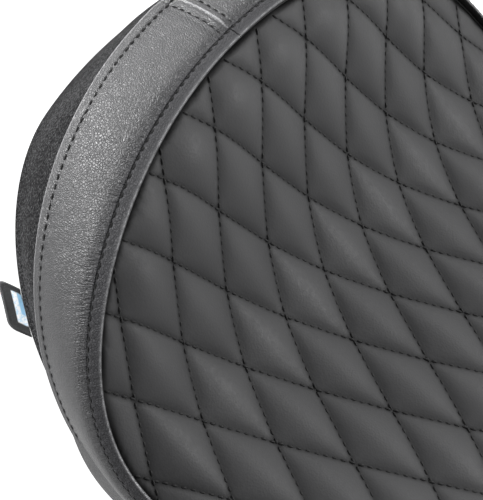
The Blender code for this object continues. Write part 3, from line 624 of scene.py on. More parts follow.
def build_panel():
    i0, i1, j0, j1 = -7, 12, -10, 9
    ni, nj = (i1 - i0) * K + 1, (j1 - j0) * K + 1
    gi, gj = np.meshgrid(np.linspace(i0, i1, ni), np.linspace(j0, j1, nj), indexing="ij")
    x, y = lattice_xy(gi, gj)
    xy = np.column_stack([x.ravel(), y.ravel()])
    near = (np.abs(xy[:, 0]) < HALF_WIDTH + 8) & (xy[:, 1] < Y_WIDEST + REAR_RUN + 8) & (xy[:, 1] > Y_WIDEST - FRONT_RUN - 8)
    dist = np.full(len(xy), -99.0)
    idx = np.zeros(len(xy), int)
    dn, di = inside_distance(xy[near])
    dist[near], idx[near] = dn, di
    h = 3.4
    snap = near & (np.abs(dist - EDGE_IN) < 0.55 * h)
    target = OUTLINE[idx] - OUT_NORMAL[idx] * EDGE_IN
    xy[snap] = target[snap]
    dist[snap] = EDGE_IN
    keep = near & (dist >= EDGE_IN - 1e-6)
    grid = np.arange(ni * nj).reshape(ni, nj)
    a, b, c, d = grid[:-1, :-1].ravel(), grid[1:, :-1].ravel(), grid[1:, 1:].ravel(), grid[:-1, 1:].ravel()
    faces = []
    for q in zip(a, b, c, d):
        kept = [v for v in q if keep[v]]
        if len(kept) >= 3:
            uniq = []
            for v in kept:
                if not any(np.hypot(*(xy[v] - xy[w])) < 0.12 for w in uniq):
                    uniq.append(v)
            if len(uniq) >= 3:
                if len(uniq) == 3 and all(snap[v] for v in uniq):
                    continue
                faces.append(uniq)
    used = sorted({v for f in faces for v in f})
    remap = {v: k for k, v in enumerate(used)}
    faces = [[remap[v] for v in f] for f in faces]
    used = np.array(used)
    pi, pj = gi.ravel()[used], gj.ravel()[used]
    pxy, pd = xy[used], dist[used]
    pin = (frac_dist(pi) < 1e-6) | (frac_dist(pj) < 1e-6) | snap[used]
    return pxy, pd, pi, pj, pin, faces, snap[used]


pxy, pd, pi, pj, ppin, pfaces, psnap = build_panel()
base = surface(pxy[:, 0], pxy[:, 1], pd) - VALLEY - seam_pinch(pd)
puff = pillow_height(pi, pj, pd)


def surface_normals(xy, d):
    e = 0.5
    x, y = xy[:, 0], xy[:, 1]
    c0 = BUCKET_Z + crown(x + e, y) - (BUCKET_Z + crown(x - e, y))
    c1 = BUCKET_Z + crown(x, y + e) - (BUCKET_Z + crown(x, y - e))
    n = np.column_stack([-c0 / (2 * e), -c1 / (2 * e), np.ones(len(x))])
    return n / np.linalg.norm(n, axis=1)[:, None]


pnorm = surface_normals(pxy, pd)
verts = np.column_stack([pxy, base]) + pnorm * (puff * PUFF)[:, None]
verts[psnap] = np.column_stack([pxy, base])[psnap]
on_line = (frac_dist(pi) < 1e-6) | (frac_dist(pj) < 1e-6)
# the valley attribute marks the stitch lines, which the quilt colour paints near black: painted shade in the stitched
# grooves
quilt = new_object("quilted_panel", verts, pfaces, MATS["quilt_vinyl"],
                   attrs={"valley": on_line.astype(float)})


def relax_quilt(obj):
    """Cloth pass: the vinyl is held along its stitch lines and blown up by the foam behind it."""
    start = np.array([v.co for v in obj.data.vertices])
    group = obj.vertex_groups.new(name="stitched")
    group.add([int(k) for k in np.nonzero(ppin)[0]], 1.0, 'REPLACE')
    mod = obj.modifiers.new("Cloth", 'CLOTH')
    s = mod.settings
    s.quality = 6
    s.mass = 0.3
    s.tension_stiffness = 60.0
    s.compression_stiffness = 60.0
    s.shear_stiffness = 30.0
    s.bending_stiffness = 6.0
    s.tension_damping = 12.0
    s.compression_damping = 12.0
    s.air_damping = 4.0
    s.use_pressure = True
    s.uniform_pressure_force = 4.0
    s.shrink_min = 0.0
    s.vertex_group_mass = "stitched"
    s.pin_stiffness = 1.0
    s.effector_weights.gravity = 0.0
    mod.collision_settings.use_collision = False
    mod.point_cache.frame_start = 1
    mod.point_cache.frame_end = 20
    scene = bpy.context.scene
    scene.frame_start, scene.frame_end = 1, 20
    for f in range(1, 21):
        scene.frame_set(f)
    dg = bpy.context.evaluated_depsgraph_get()
    ev = obj.evaluated_get(dg)
    moved = np.array([v.co for v in ev.data.vertices])
    scene.frame_set(1)
    obj.modifiers.remove(mod)
    delta = moved - start
    length = np.linalg.norm(delta, axis=1)
    cap = 1.2 * MM
    delta *= np.minimum(1.0, cap / np.maximum(length, 1e-9))[:, None]
    delta[ppin] = 0.0
    # the foam behind evens out the finest buckles
    pairs = np.array([e.vertices[:] for e in obj.data.edges])
    for _ in range(6):
        total, count = np.zeros_like(delta), np.zeros(len(delta))
        for a, b in ((0, 1), (1, 0)):
            np.add.at(total, pairs[:, a], delta[pairs[:, b]])
            np.add.at(count, pairs[:, a], 1.0)
        delta = 0.4 * delta + 0.6 * total / np.maximum(count, 1.0)[:, None]
        delta[ppin] = 0.0
    length = np.linalg.norm(delta, axis=1)
    print("cloth: mean move %.2f mm, largest %.2f mm" % (length.mean() / MM, length.max() / MM))
    obj.data.vertices.foreach_set("co", (start + delta).ravel())
    obj.data.update()


relax_quilt(quilt)


def edge_return(obj):
    """Turns the panel's rim down into the seam and refines it."""
    bm = bmesh.new()
    bm.from_mesh(obj.data)
    bmesh.ops.recalc_face_normals(bm, faces=bm.faces)
    if sum(f.normal.z for f in bm.faces) < 0:
        bmesh.ops.reverse_faces(bm, faces=bm.faces)
    for push, drop in ((0.25, 0.5), (0.10, 1.6), (0.0, 2.2)):
        edges = [e for e in bm.edges if e.is_boundary]
        got = bmesh.ops.extrude_edge_only(bm, edges=edges)
        new = [g for g in got["geom"] if isinstance(g, bmesh.types.BMVert)]
        for v in new:
            _, i, _ = _tree.find((v.co.x / MM, v.co.y / MM, 0.0))
            n = OUT_NORMAL[i]
            v.co += Vector((n[0] * push, n[1] * push, -drop)) * MM
    bm.to_mesh(obj.data)
    bm.free()
    mod = obj.modifiers.new("refine", 'SUBSURF')
    mod.levels = mod.render_levels = 1
    dg = bpy.context.evaluated_depsgraph_get()
    mesh = bpy.data.meshes.new_from_object(obj.evaluated_get(dg))
    obj.modifiers.clear()
    obj.data = mesh
    return obj


edge_return(quilt)


def panel_details(obj):
    """A pillow attribute and a rim attribute for the quilt colour, then a solid skin."""
    co = np.array([v.co for v in obj.data.vertices]) / MM
    mesh = obj.data
    # nominal height gives the pillow attribute, which the quilt colour turns into painted shading: lighter crowns,
    # darker flanks
    d, _ = inside_distance(co[:, :2])
    nominal = surface(co[:, 0], co[:, 1], d) - VALLEY
    rise = np.clip((co[:, 2] - nominal) / PUFF, 0.0, 1.3)
    att = mesh.attributes.new("pillow", 'FLOAT', 'POINT')
    att.data.foreach_set("value", rise.astype(np.float32))
    # rim attribute: the quilt colour paints the panel near black within a few millimetres of the edge seam, a painted
    # shadow
    att = mesh.attributes.new("rim", 'FLOAT', 'POINT')
    att.data.foreach_set("value", (1.0 - smooth(2.0, 4.4, d)).astype(np.float32))
    mod = obj.modifiers.new("skin", 'SOLIDIFY')
    mod.thickness = 2.4 * MM
    mod.offset = -1.0
    mod.use_even_offset = False
    dg = bpy.context.evaluated_depsgraph_get()
    solid = bpy.data.meshes.new_from_object(obj.evaluated_get(dg))
    obj.modifiers.clear()
    obj.data = solid
    solid.shade_smooth()
    return obj


panel_details(quilt)
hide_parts("cover_quilted_top")
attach(quilt, "seat")


# ------------------------------------------------------------------ stitches
def stitch_mesh(name, lines, pitch, radius, length=0.78, lift=0.25, sink=0.55, seg=6, body="seat", up=None):
    """Separate lock stitches along 3-D lines; each is a short bowed capsule whose ends dive into the leather."""
    verts, faces = [], []
    prof_t = np.array([0.0, 0.10, 0.32, 0.68, 0.90, 1.0])
    prof_r = np.array([0.35, 0.80, 1.0, 1.0, 0.80, 0.35])
    count = 0
    for pts, nrm in lines:
        pts, nrm = np.asarray(pts, float), np.asarray(nrm, float)
        run = np.concatenate([[0.0], np.cumsum(np.linalg.norm(np.diff(pts, axis=0), axis=1))])
        if run[-1] < pitch:
            continue
        n = max(int(round(run[-1] / pitch)), 1)
        step = run[-1] / n
        for k in range(n):
            s0 = step * (k + 0.5 * (1.0 - length))
            s1 = step * (k + 1.0 - 0.5 * (1.0 - length))
            s = s0 + (s1 - s0) * prof_t
            p = np.column_stack([np.interp(s, run, pts[:, a]) for a in range(3)])
            nn = np.column_stack([np.interp(s, run, nrm[:, a]) for a in range(3)])
            nn /= np.linalg.norm(nn, axis=1)[:, None]
            t = p[-1] - p[0]
            t /= max(np.linalg.norm(t), 1e-9)
            side = np.cross(t, nn)
            side /= np.linalg.norm(side, axis=1)[:, None]
            bow = np.sin(np.pi * prof_t) ** 0.6
            jitter = 0.10 * math.sin(count * 2.399)
            centre = p + nn * (lift - sink * (1.0 - bow))[:, None] + side * jitter
            base_i = len(verts)
            for c, sd, un, r in zip(centre, side, nn, prof_r * radius):
                for q in range(seg):
                    a = 2 * math.pi * q / seg
                    verts.append(c + sd * (r * math.cos(a)) + un * (r * 0.85 * math.sin(a)))
            m = len(prof_t)
            for r in range(m - 1):
                for q in range(seg):
                    q2 = (q + 1) % seg
                    faces.append((base_i + r * seg + q, base_i + r * seg + q2,
                                  base_i + (r + 1) * seg + q2, base_i + (r + 1) * seg + q))
            faces.append(tuple(base_i + q for q in range(seg))[::-1])
            faces.append(tuple(base_i + (m - 1) * seg + q for q in range(seg)))
            count += 1
    if not verts:
        return None
    obj = new_object(name, np.array(verts), faces, MATS["thread"])
    outward(obj)
    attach(obj, body)
    return obj


def quilt_lines():
    """The two families of quilting lines, cut where they reach the edge seam."""
    lines = []
    t = np.linspace(-11, 13, 24 * 40 + 1)
    for fam in (0, 1):
        for whole in range(-10, 13):
            i = np.full_like(t, whole) if fam == 0 else t
            j = t if fam == 0 else np.full_like(t, whole)
            x, y = lattice_xy(i, j)
            ok = (np.abs(x) < HALF_WIDTH) & (y < Y_WIDEST + REAR_RUN) & (y > Y_WIDEST - FRONT_RUN)
            if ok.sum() < 4:
                continue
            xy = np.column_stack([x[ok], y[ok]])
            tt = t[ok]
            d, _ = inside_distance(xy)
            good = d > 1.2
            # every run inside of at least four points
            if good.sum() < 4:
                continue
            cut = np.nonzero(np.diff(np.nonzero(good)[0]) > 1)[0]
            ids = np.nonzero(good)[0]
            for seg in np.split(ids, cut + 1):
                if len(seg) < 4:
                    continue
                pxy_, dd = xy[seg], d[seg]
                z = surface(pxy_[:, 0], pxy_[:, 1], dd) - VALLEY - seam_pinch(dd)
                n = surface_normals(pxy_, dd)
                lines.append((np.column_stack([pxy_, z]), n))
    return lines


stitch_mesh("quilt_stitching", quilt_lines(), 4.6, 0.62, length=0.80, lift=0.62, sink=0.95)


# ------------------------------------------------------------------ side bands
def bezier(p, t):
    u = 1.0 - t
    w = np.stack([u ** 3, 3 * u * u * t, 3 * u * t * t, t ** 3])
    return np.tensordot(w, p, axes=(0, 0))


def band_curve(st, k, t):
    """Outer line of the band at one station: up out of the seam, over the edge and down to the hem."""
    first = np.array([SEAM_GAP, BAND_RISE])
    last = np.array([st["band"][k], -st["depth"][k]])
    reach = BAND_SPREAD * float(np.hypot(*(last - first)))
    turn = float(st["turn"][k])
    p = np.array([first, first + reach * np.array([math.cos(BAND_START), -math.sin(BAND_START)]),
                  last + reach * np.array([-math.cos(turn), math.sin(turn)]), last])
    return bezier(p, t)


def band_profile(st, k, s_list, displace=None):
    """Section of one station: (outward, z) at arc lengths s_list, pushed by displace along the outer normal."""
    t = np.linspace(0.0, 1.0, 160)
    c = band_curve(st, k, t)
    run = np.concatenate([[0.0], np.cumsum(np.hypot(*np.diff(c, axis=0).T))])
    L = run[-1]
    s = s_list(L)
    o = np.interp(s, run, c[:, 0])
    h = np.interp(s, run, c[:, 1])
    e = 0.8
    do = np.interp(np.minimum(s + e, L), run, c[:, 0]) - np.interp(np.maximum(s - e, 0), run, c[:, 0])
    dh = np.interp(np.minimum(s + e, L), run, c[:, 1]) - np.interp(np.maximum(s - e, 0), run, c[:, 1])
    ln = np.hypot(do, dh)
    no, nh = -dh / ln, do / ln
    if displace is not None:
        push = displace(s, L)
        o, h = o + no * push, h + nh * push
    return o, h + st["zq"][k], no, nh, s, L


TOP_ROW = 6.3         # topstitch, from the seam
LOW_ROW = 5.8         # topstitch, from the lower edge
CROSS_ROW = 4.6       # topstitch each side of the rear centre seam


def outer_s(L):
    head = np.array([0.0, 0.3, 0.7, 1.2, 1.8, 2.6, 3.6, 4.6, 5.4, 5.8, 6.1, 6.3, 6.5, 6.8, 7.3, 8.1, 9.2, 10.4, 11.8])
    tail = L - np.array([12.5, 10.5, 9.0, 7.8, 7.0, 6.4, 6.05, 5.8, 5.55, 5.2, 4.4, 3.4, 2.4, 1.6, 1.0, 0.5, 0.2, 0.0])
    mid = np.linspace(head[-1], tail[0], 14)[1:-1]
    return np.concatenate([head, mid, tail])


def outer_push(cross, end_x):
    def fn(s, L):
        p = np.zeros_like(s)
        p += 0.70 * smooth(0.0, 1.0, s) * (1.0 - smooth(5.6, 7.2, s))            # doubled strip beside the seam
        p += 0.55 * np.exp(-((s - 1.1) / 0.9) ** 2)                               # rounded fold along the seam
        p -= 0.50 * np.exp(-((s - TOP_ROW) / 0.60) ** 2)                          # upper stitch groove
        p -= 0.75 * np.exp(-((s - 9.2) / 2.4) ** 2)                               # soft valley after the strip
        p += 0.60 * smooth(L - 7.2, L - 5.2, s)                                   # doubled lower edge
        p += 0.45 * np.exp(-((s - (L - 1.1)) / 0.9) ** 2)                         # bead of the lower fold
        p -= 0.60 * np.exp(-((s - (L - LOW_ROW)) / 0.55) ** 2)                    # lower stitch groove
        p -= 1.2 * smooth(L - 0.8, L, s)                                          # rolled lower edge
        if cross:
            x = end_x
            fade = smooth(5.0, 9.0, s)
            p = p + fade * (1.0 * math.exp(-(x / 1.3) ** 2) + 0.45 * math.exp(-((x - 2.6) / 1.2) ** 2)
                            - 0.80 * math.exp(-((x - CROSS_ROW) / 0.55) ** 2) - 0.45 * math.exp(-((x - 7.0) / 1.8) ** 2)) \
                - (1.0 - fade) * 0.9 * math.exp(-(x / 0.8) ** 2)
        return p
    return fn


def half_runs():
    """Fine near the centre seams, even elsewhere."""
    fine = [0.0, 0.3, 0.6, 1.0, 1.5, 2.1, 2.8, 3.5, 4.0, 4.35, 4.6, 4.85, 5.2, 5.8, 6.8, 8.0, 9.4]
    middle = np.linspace(11.0, RUN_END - 11.0, 640)
    return np.concatenate([fine, middle, RUN_END - np.array(fine[::-1])])


BAND_RUNS = half_runs()
ST = stations(BAND_RUNS)


STITCH = 4.7


def row_phase(s_of_L):
    """Stitch count along a row at every ring, so that the leather can pull in under each stitch."""
    pts = []
    for k in range(len(BAND_RUNS)):
        x_end = min(BAND_RUNS[k], RUN_END - BAND_RUNS[k])
        o, z, _, _, _, _ = band_profile(ST, k, lambda L_: np.array([s_of_L(L_)]), outer_push(x_end < 14.0, x_end + 0.25))
        pts.append((max(ST["x"][k] + ST["nx"][k] * o[0], 0.25), ST["y"][k] + ST["ny"][k] * o[0], z[0]))
    run = np.concatenate([[0.0], np.cumsum(np.linalg.norm(np.diff(np.array(pts), axis=0), axis=1))])
    return run / run[-1] * max(int(round(run[-1] / STITCH)), 1), run


TOP_PHASE, TOP_RUN = row_phase(lambda L: TOP_ROW)
LOW_PHASE, LOW_RUN = row_phase(lambda L: L - LOW_ROW)


def build_band(side, word):
    rings = []
    wear_and_sheen_attr = []
    along_attr, across_attr, fold_attr, gap_shadow_attr = [], [], [], []
    n = len(BAND_RUNS)
    for k in range(n):
        x_end = min(BAND_RUNS[k], RUN_END - BAND_RUNS[k])
        cross = x_end < 14.0
        o, z, no, nh, s, L = band_profile(ST, k, outer_s, outer_push(cross, x_end + 0.25))
        # small-scale life: a faint wander in the surface and puckers between stitches
        px = ST["x"][k] + ST["nx"][k] * o
        py = ST["y"][k] + ST["ny"][k] * o
        wander = rng_noise(np.column_stack([px * side, py, z]), 46.0, 1.0) * 0.35 * smooth(7.0, 14.0, s) * (1 - smooth(L - 9.0, L - 4.0, s))
        t1, t2 = 2 * math.pi * TOP_PHASE[k], 2 * math.pi * LOW_PHASE[k]
        skew = 0.5 * math.sin(TOP_RUN[k] / 17.0) + 0.3 * math.sin(TOP_RUN[k] / 6.3 + 1.0)
        # the thread bites under each stitch and the leather bulges between the holes
        bite = 0.5 - 0.5 * math.cos(t1)
        pucker = (0.36 - 0.62 * bite) * np.exp(-((s - TOP_ROW) / 0.75) ** 2)
        pucker += 0.22 * math.cos(t1 + skew) * np.exp(-((s - 8.4) / 1.5) ** 2) + 0.12 * math.cos(t1 + skew) * np.exp(-((s - 4.3) / 1.2) ** 2)
        pucker += 0.10 * math.cos(2.0 * t1 + 2.6 * skew) * np.exp(-((s - 9.8) / 2.4) ** 2)
        bite = 0.5 - 0.5 * math.cos(t2)
        pucker += (0.20 - 0.36 * bite) * np.exp(-((s - (L - LOW_ROW)) / 0.75) ** 2)
        pucker += 0.10 * math.cos(t2) * np.exp(-((s - (L - 8.2)) / 1.6) ** 2)
        o, z = o + no * (wander + pucker), z + nh * (wander + pucker)
        lip = [(SEAM_GAP + 0.15, ST["zq"][k] - 3.2), (SEAM_GAP + 0.12, ST["zq"][k] - 0.6), (SEAM_GAP + 0.12, ST["zq"][k] + 2.2)]
        outer = lip + [(max(a, SEAM_GAP + 0.15), b) for a, b in zip(o, z)]
        io, iz, _, _, s2, L2 = band_profile(ST, k, lambda L_: np.linspace(4.0, L_ - 0.6, 9), lambda s_, L_: np.full_like(s_, -BAND_T))
        io, iz = list(io)[::-1], list(iz)[::-1]
        inner = [(max(a, SEAM_GAP + 0.6), b) for a, b in zip(io, iz)]
        sec = outer + inner
        ring = []
        for a, b in sec:
            x = ST["x"][k] + ST["nx"][k] * a
            y = ST["y"][k] + ST["ny"][k] * a
            if k in (0, n - 1):
                x = 0.25
            ring.append((side * max(x, 0.25), y, b))
        rings.append(ring)
        # edge attribute: lighter along the strip beside the seam and along the lower edge, rubbed wear and painted
        # highlight
        wear = np.concatenate([[0, 0, 0.3], np.exp(-((s - 3.5) / 3.0) ** 2) + 0.8 * smooth(L - 3.0, L - 1.0, s), np.zeros(9)])
        wear_and_sheen_attr.append(wear)
        along_attr.append(np.full(len(sec), TOP_RUN[k]))
        across_attr.append(np.concatenate([[99.0] * 3, s - TOP_ROW, np.full(9, 99.0)]))
        # painted highlight: the fold attribute lightens the band colour along the seam fold, the lower fold and the
        # rear centre seam ridge
        fold_highlight = 0.75 * np.exp(-((s - 0.7) / 0.38) ** 2) + 0.75 * np.exp(-((s - (L - 0.7)) / 0.45) ** 2)
        if BAND_RUNS[k] < 3.0:
            fold_highlight = np.maximum(fold_highlight, 0.8 * math.exp(-(BAND_RUNS[k] / 0.5) ** 2) * smooth(6.5, 9.0, s))
        fold_attr.append(np.concatenate([[0.0, 0.0, 0.0], fold_highlight, np.zeros(9)]))
        # painted shadow: the lip wall and the seam edge are coloured near black where the seam gap lies in shade
        gap_shadow_attr.append(np.concatenate([[1.0, 1.0, 0.9], 0.9 * np.exp(-(s / 0.12) ** 2), np.zeros(9)]))
    m = len(rings[0])
    verts = np.array(rings).reshape(-1, 3)
    faces = []
    for k in range(n - 1):
        for q in range(m):
            q2 = (q + 1) % m
            faces.append((k * m + q, k * m + q2, (k + 1) * m + q2, (k + 1) * m + q))
    faces.append(tuple(range(m))[::-1])
    faces.append(tuple((n - 1) * m + q for q in range(m)))
    obj = new_object("side_band_" + word, verts, faces, MATS["band_vinyl"],
                     attrs={"edge": np.array(wear_and_sheen_attr).ravel(), "along": np.array(along_attr).ravel(),
                            "across": np.array(across_attr).ravel(), "fold": np.array(fold_attr).ravel(),
                            "dark": np.array(gap_shadow_attr).ravel()})
    outward(obj)
    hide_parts("cover_band_" + word)
    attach(obj, "seat")
    return obj


BAND_OBJECTS = [build_band(side, word) for side, word in ((1.0, "left"), (-1.0, "right"))]


def build_seam_shadow_cord():
    """A thin black cord laid in the crease between panel and bands, giving the seam its dark line: painted shadow."""
    st = stations(np.linspace(0.0, RUN_END, 420))
    half = np.column_stack([st["x"] + st["nx"] * -0.06, st["y"] + st["ny"] * -0.06, st["zq"] - 1.45])
    half[0, 0] = half[-1, 0] = 0.0
    other = half[::-1][1:-1].copy()
    other[:, 0] *= -1.0
    loop = np.vstack([half, other])
    nrm = np.column_stack([st["nx"], st["ny"]])
    back = nrm[::-1][1:-1].copy()
    back[:, 0] *= -1.0
    nrm = np.vstack([nrm, back])
    verts, faces, seg = [], [], 6
    n = len(loop)
    for c, d in zip(loop, nrm):
        for q in range(seg):
            a = 2 * math.pi * q / seg
            verts.append(c + np.array([d[0] * math.cos(a), d[1] * math.cos(a), math.sin(a)]) * 0.5)
    for k in range(n):
        for q in range(seg):
            q2, k2 = (q + 1) % seg, (k + 1) % n
            faces.append((k * seg + q, k * seg + q2, k2 * seg + q2, k2 * seg + q))
    obj = new_object("seam_shadow_cord", np.array(verts), faces, MATS["thread"])
    outward(obj)
    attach(obj, "seat")


build_seam_shadow_cord()


def row_line(side, s_of_L, k0=0, k1=None):
    pts, nrm = [], []
    ks = range(k0, k1 or len(BAND_RUNS))
    for k in ks:
        x_end = min(BAND_RUNS[k], RUN_END - BAND_RUNS[k])
        o, z, no, nh, s, L = band_profile(ST, k, lambda L_: np.array([s_of_L(L_)]), outer_push(x_end < 14.0, x_end + 0.25))
        x = ST["x"][k] + ST["nx"][k] * o[0]
        pts.append((side * max(x, 0.25), ST["y"][k] + ST["ny"][k] * o[0], z[0]))
        nrm.append((side * ST["nx"][k] * no[0], ST["ny"][k] * no[0], nh[0]))
    return np.array(pts), np.array(nrm)


def cross_line(side, at_front):
    """Topstitch beside a centre seam, following the band's section."""
    run = RUN_END - CROSS_ROW if at_front else CROSS_ROW
    st = stations(np.array([run]))
    o, z, no, nh, s, L = band_profile(st, 0, lambda L_: np.linspace(TOP_ROW + 1.5, L_ - LOW_ROW - 1.0, 40), outer_push(True, CROSS_ROW))
    x = st["x"][0] + st["nx"][0] * o
    y = st["y"][0] + st["ny"][0] * o
    pts = np.column_stack([side * x, y, z])
    nrm = np.column_stack([side * st["nx"][0] * no, st["ny"][0] * no, nh])
    return pts, nrm


band_rows = []
for side in (1.0, -1.0):
    band_rows.append(row_line(side, lambda L: TOP_ROW))
    band_rows.append(row_line(side, lambda L: L - LOW_ROW))
    band_rows.append(cross_line(side, False))
    band_rows.append(cross_line(side, True))
stitch_mesh("band_topstitching", band_rows, STITCH, 0.62, length=0.76, lift=0.22, sink=0.85)


# ------------------------------------------------------------------ skirts
def catmull(points, count):
    p = np.asarray(points, float)
    p = np.vstack([2 * p[0] - p[1], p, 2 * p[-1] - p[-2]])
    out = []
    seg = len(p) - 3
    for q in range(count):
        g = q / (count - 1) * seg
        a = min(int(g), seg - 1)
        t = g - a
        p0, p1, p2, p3 = p[a:a + 4]
        out.append(0.5 * ((2 * p1) + (-p0 + p2) * t + (2 * p0 - 5 * p1 + 4 * p2 - p3) * t ** 2 + (-p0 + 3 * p1 - 3 * p2 + p3) * t ** 3))
    return np.array(out)


SKIRT_RUNS = np.concatenate([np.linspace(0, 12, 9), np.linspace(15, RUN_END - 15, 230), RUN_END - np.linspace(12, 0, 9)])


def build_skirt(side, word):
    st = stations(SKIRT_RUNS)
    n = len(SKIRT_RUNS)
    rings = []
    for k in range(n):
        sk = st["skirt"][k]
        zb = float(base_z(st["y"][k] + st["ny"][k] * sk))
        zh = float(base_z(st["y"][k] + st["ny"][k] * (sk - HEM)))
        c = band_curve(st, k, np.array([0.855, 0.86, 0.865, 0.995, 1.0]))
        tucked = []
        for a, b, q in ((0, 2, 1), (3, 4, 4)):
            do, dh = c[b] - c[a]
            ln = math.hypot(do, dh)
            tucked.append((c[q][0] + TUCK_IN * dh / ln, st["zq"][k] + c[q][1] - TUCK_IN * do / ln))
        top, za = tucked[1]
        mid = 0.5 * (top + sk) + 1.5
        line = [tucked[0], (top, za), (mid, 0.5 * (za + zb + 6.0)), (sk, zb + 6.0)]
        wall = catmull(line, 16)
        # slack in the fabric between band and pan edge
        t = np.linspace(0, 1, 16)
        slack = np.sin(np.pi * np.clip((t - 0.15) / 0.85, 0, 1)) * 0.55
        px, py = st["x"][k] * side, st["y"][k]
        wall[:, 0] += slack * rng_noise(np.column_stack([np.full(16, px), np.full(16, py), wall[:, 1]]), 34.0, 3.0)
        fold = [(sk + 0.05, zb + 3.0), (sk, zb + 0.8), (sk - 0.5, zb - 0.8), (sk - 1.4, zb - 1.8), (sk - 2.6, zb - 2.3)]
        hem = [(sk - 2.6 - (HEM - 2.6) * q, zb - 2.3 + (zh - zb - 0.1) * q) for q in (0.3, 0.65, 1.0)]
        outer = list(map(tuple, wall)) + fold + hem
        o = np.array(outer)
        tan = np.gradient(o, axis=0)
        ln = np.hypot(tan[:, 0], tan[:, 1])
        inner = o + np.column_stack([tan[:, 1], -tan[:, 0]]) / ln[:, None] * 1.3
        sec = np.vstack([o, inner[::-1]])
        ring = []
        for a, b in sec:
            x = st["x"][k] + st["nx"][k] * a
            if k in (0, n - 1):
                x = 0.3
            ring.append((side * max(x, 0.3), st["y"][k] + st["ny"][k] * a, b))
        rings.append(ring)
    m = len(rings[0])
    verts = np.array(rings).reshape(-1, 3)
    faces = []
    for k in range(n - 1):
        for q in range(m):
            q2 = (q + 1) % m
            faces.append((k * m + q, k * m + q2, (k + 1) * m + q2, (k + 1) * m + q))
    faces.append(tuple(range(m))[::-1])
    faces.append(tuple((n - 1) * m + q for q in range(m)))
    obj = new_object("gripper_skirt_" + word, verts, faces, MATS["gripper_fabric"])
    outward(obj)
    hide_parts("cover_skirt_" + word)
    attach(obj, "seat")
    return obj


for side, word in ((1.0, "left"), (-1.0, "right")):
    build_skirt(side, word)


# ------------------------------------------------------------------ fabric tag
def build_tag():
    joint = next(j for j in frame["joints"] if j["name"] == "tag_flap")
    origin = np.array(joint["pos_m"]) / MM
    along = np.array(joint["axis"], float)
    along /= np.linalg.norm(along)
    outn = np.array([-along[1], along[0], 0.0])
    up = np.array([0.0, 0.0, 1.0])
    W, Lg, lean = 25.0, 10.0, 0.75
    nu, nv = 40, 26
    verts, us, vs = [], [], []
    us_ = np.linspace(-1, 1, nu)
    vs_ = np.linspace(0, 1, nv)

    def edge(u, v):
        # rounded outer corners, expressed as how far a point is from the bound edge
        return min((1 - abs(u)) * W / 2, (1 - v) * Lg)

    def point(u, v, face):
        w = W / 2
        x = u * w
        yv = v * Lg
        # round the outer corners
        r = 3.6
        cx = max(abs(x) - (w - r), 0.0)
        cy = max(yv - (Lg - r), 0.0)
        if cx > 0 and cy > 0:
            q = max(cx, cy) / math.hypot(cx, cy)
            cx, cy = cx * q, cy * q
            x = math.copysign(w - r + cx, x)
            yv = Lg - r + cy
        e = edge(u, v)
        rim = 0.34 * math.exp(-((e - 0.8) / 0.6) ** 2)
        half = 0.50 * (1 - math.exp(-e / 0.35)) + rim
        sag = -0.10 * yv + 0.45 * math.sin(math.pi * v * 0.9) + 0.30 * min(1.0, 4.0 * v) * math.sin(2.4 * u + 1.2 * v)
        return origin + along * (x + lean * yv) + outn * yv + up * (sag + face * half)

    for face in (1.0, -1.0):
        for v in vs_:
            for u in us_:
                verts.append(point(u, v, face))
                us.append(0.5 + 0.5 * u)
                vs.append(v)
    faces = []
    def vid(f, b, a):
        return f * nu * nv + b * nu + a
    for b in range(nv - 1):
        for a in range(nu - 1):
            faces.append((vid(0, b, a), vid(0, b, a + 1), vid(0, b + 1, a + 1), vid(0, b + 1, a)))
            faces.append((vid(1, b, a), vid(1, b + 1, a), vid(1, b + 1, a + 1), vid(1, b, a + 1)))
    rim = [(b, 0) for b in range(nv)] + [(nv - 1, a) for a in range(1, nu)] + [(b, nu - 1) for b in range(nv - 2, -1, -1)] + [(0, a) for a in range(nu - 2, 0, -1)]
    for (b0, a0), (b1, a1) in zip(rim, rim[1:] + rim[:1]):
        faces.append((vid(0, b0, a0), vid(0, b1, a1), vid(1, b1, a1), vid(1, b0, a0)))
    obj = new_object("folded_tag", np.array(verts), faces, MATS["tag_fabric"], attrs={"tag_u": us, "tag_v": vs})
    outward(obj)
    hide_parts("fabric_tag")
    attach(obj, "tag")
    # sewn-in root between the hinge line and the skirt
    rows = [(-3.6, 1.5, 0.45), (-2.8, 1.2, 0.5), (-2.0, 0.5, 0.5), (-1.3, 0.0, 0.5), (-0.70, 0.0, 0.45)]
    rv, rf = [], []
    cols = 14
    for yv, rise, half in rows:
        for face in (1.0, -1.0):
            for a in range(cols):
                x = -W / 2 + 0.4 + (W - 0.8) * a / (cols - 1)
                rv.append(origin + along * (x + lean * yv) + outn * yv + up * (rise + face * half))
    for b in range(len(rows) - 1):
        for face in (0, 1):
            for a in range(cols - 1):
                i0 = (2 * b + face) * cols + a
                j0 = (2 * (b + 1) + face) * cols + a
                rf.append((i0, i0 + 1, j0 + 1, j0))
        for a in (0, cols - 1):
            rf.append((2 * b * cols + a, (2 * b + 1) * cols + a, (2 * b + 3) * cols + a, (2 * b + 2) * cols + a))
    for b in (0, len(rows) - 1):
        for a in range(cols - 1):
            rf.append((2 * b * cols + a, 2 * b * cols + a + 1, (2 * b + 1) * cols + a + 1, (2 * b + 1) * cols + a))
    root = new_object("tag_root", np.array(rv), rf, MATS["tag_fabric"],
                      attrs={"tag_u": np.zeros(len(rv)), "tag_v": np.ones(len(rv))})
    outward(root)
    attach(root, "seat")
    return obj


TAG_OBJECT = build_tag()


# ------------------------------------------------------------------ floor, light, camera
lo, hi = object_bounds()
# low enough for the seat screw to be backed right out above it
floor_z = lo.z - 0.0125
floor_mat = Mat("pale_floor")
floor_mat.colour((0.93, 0.93, 0.93))
floor_mat.set(Roughness=0.9, Emission_Color=(1.0, 1.0, 1.0, 1.0), Emission_Strength=1.0)
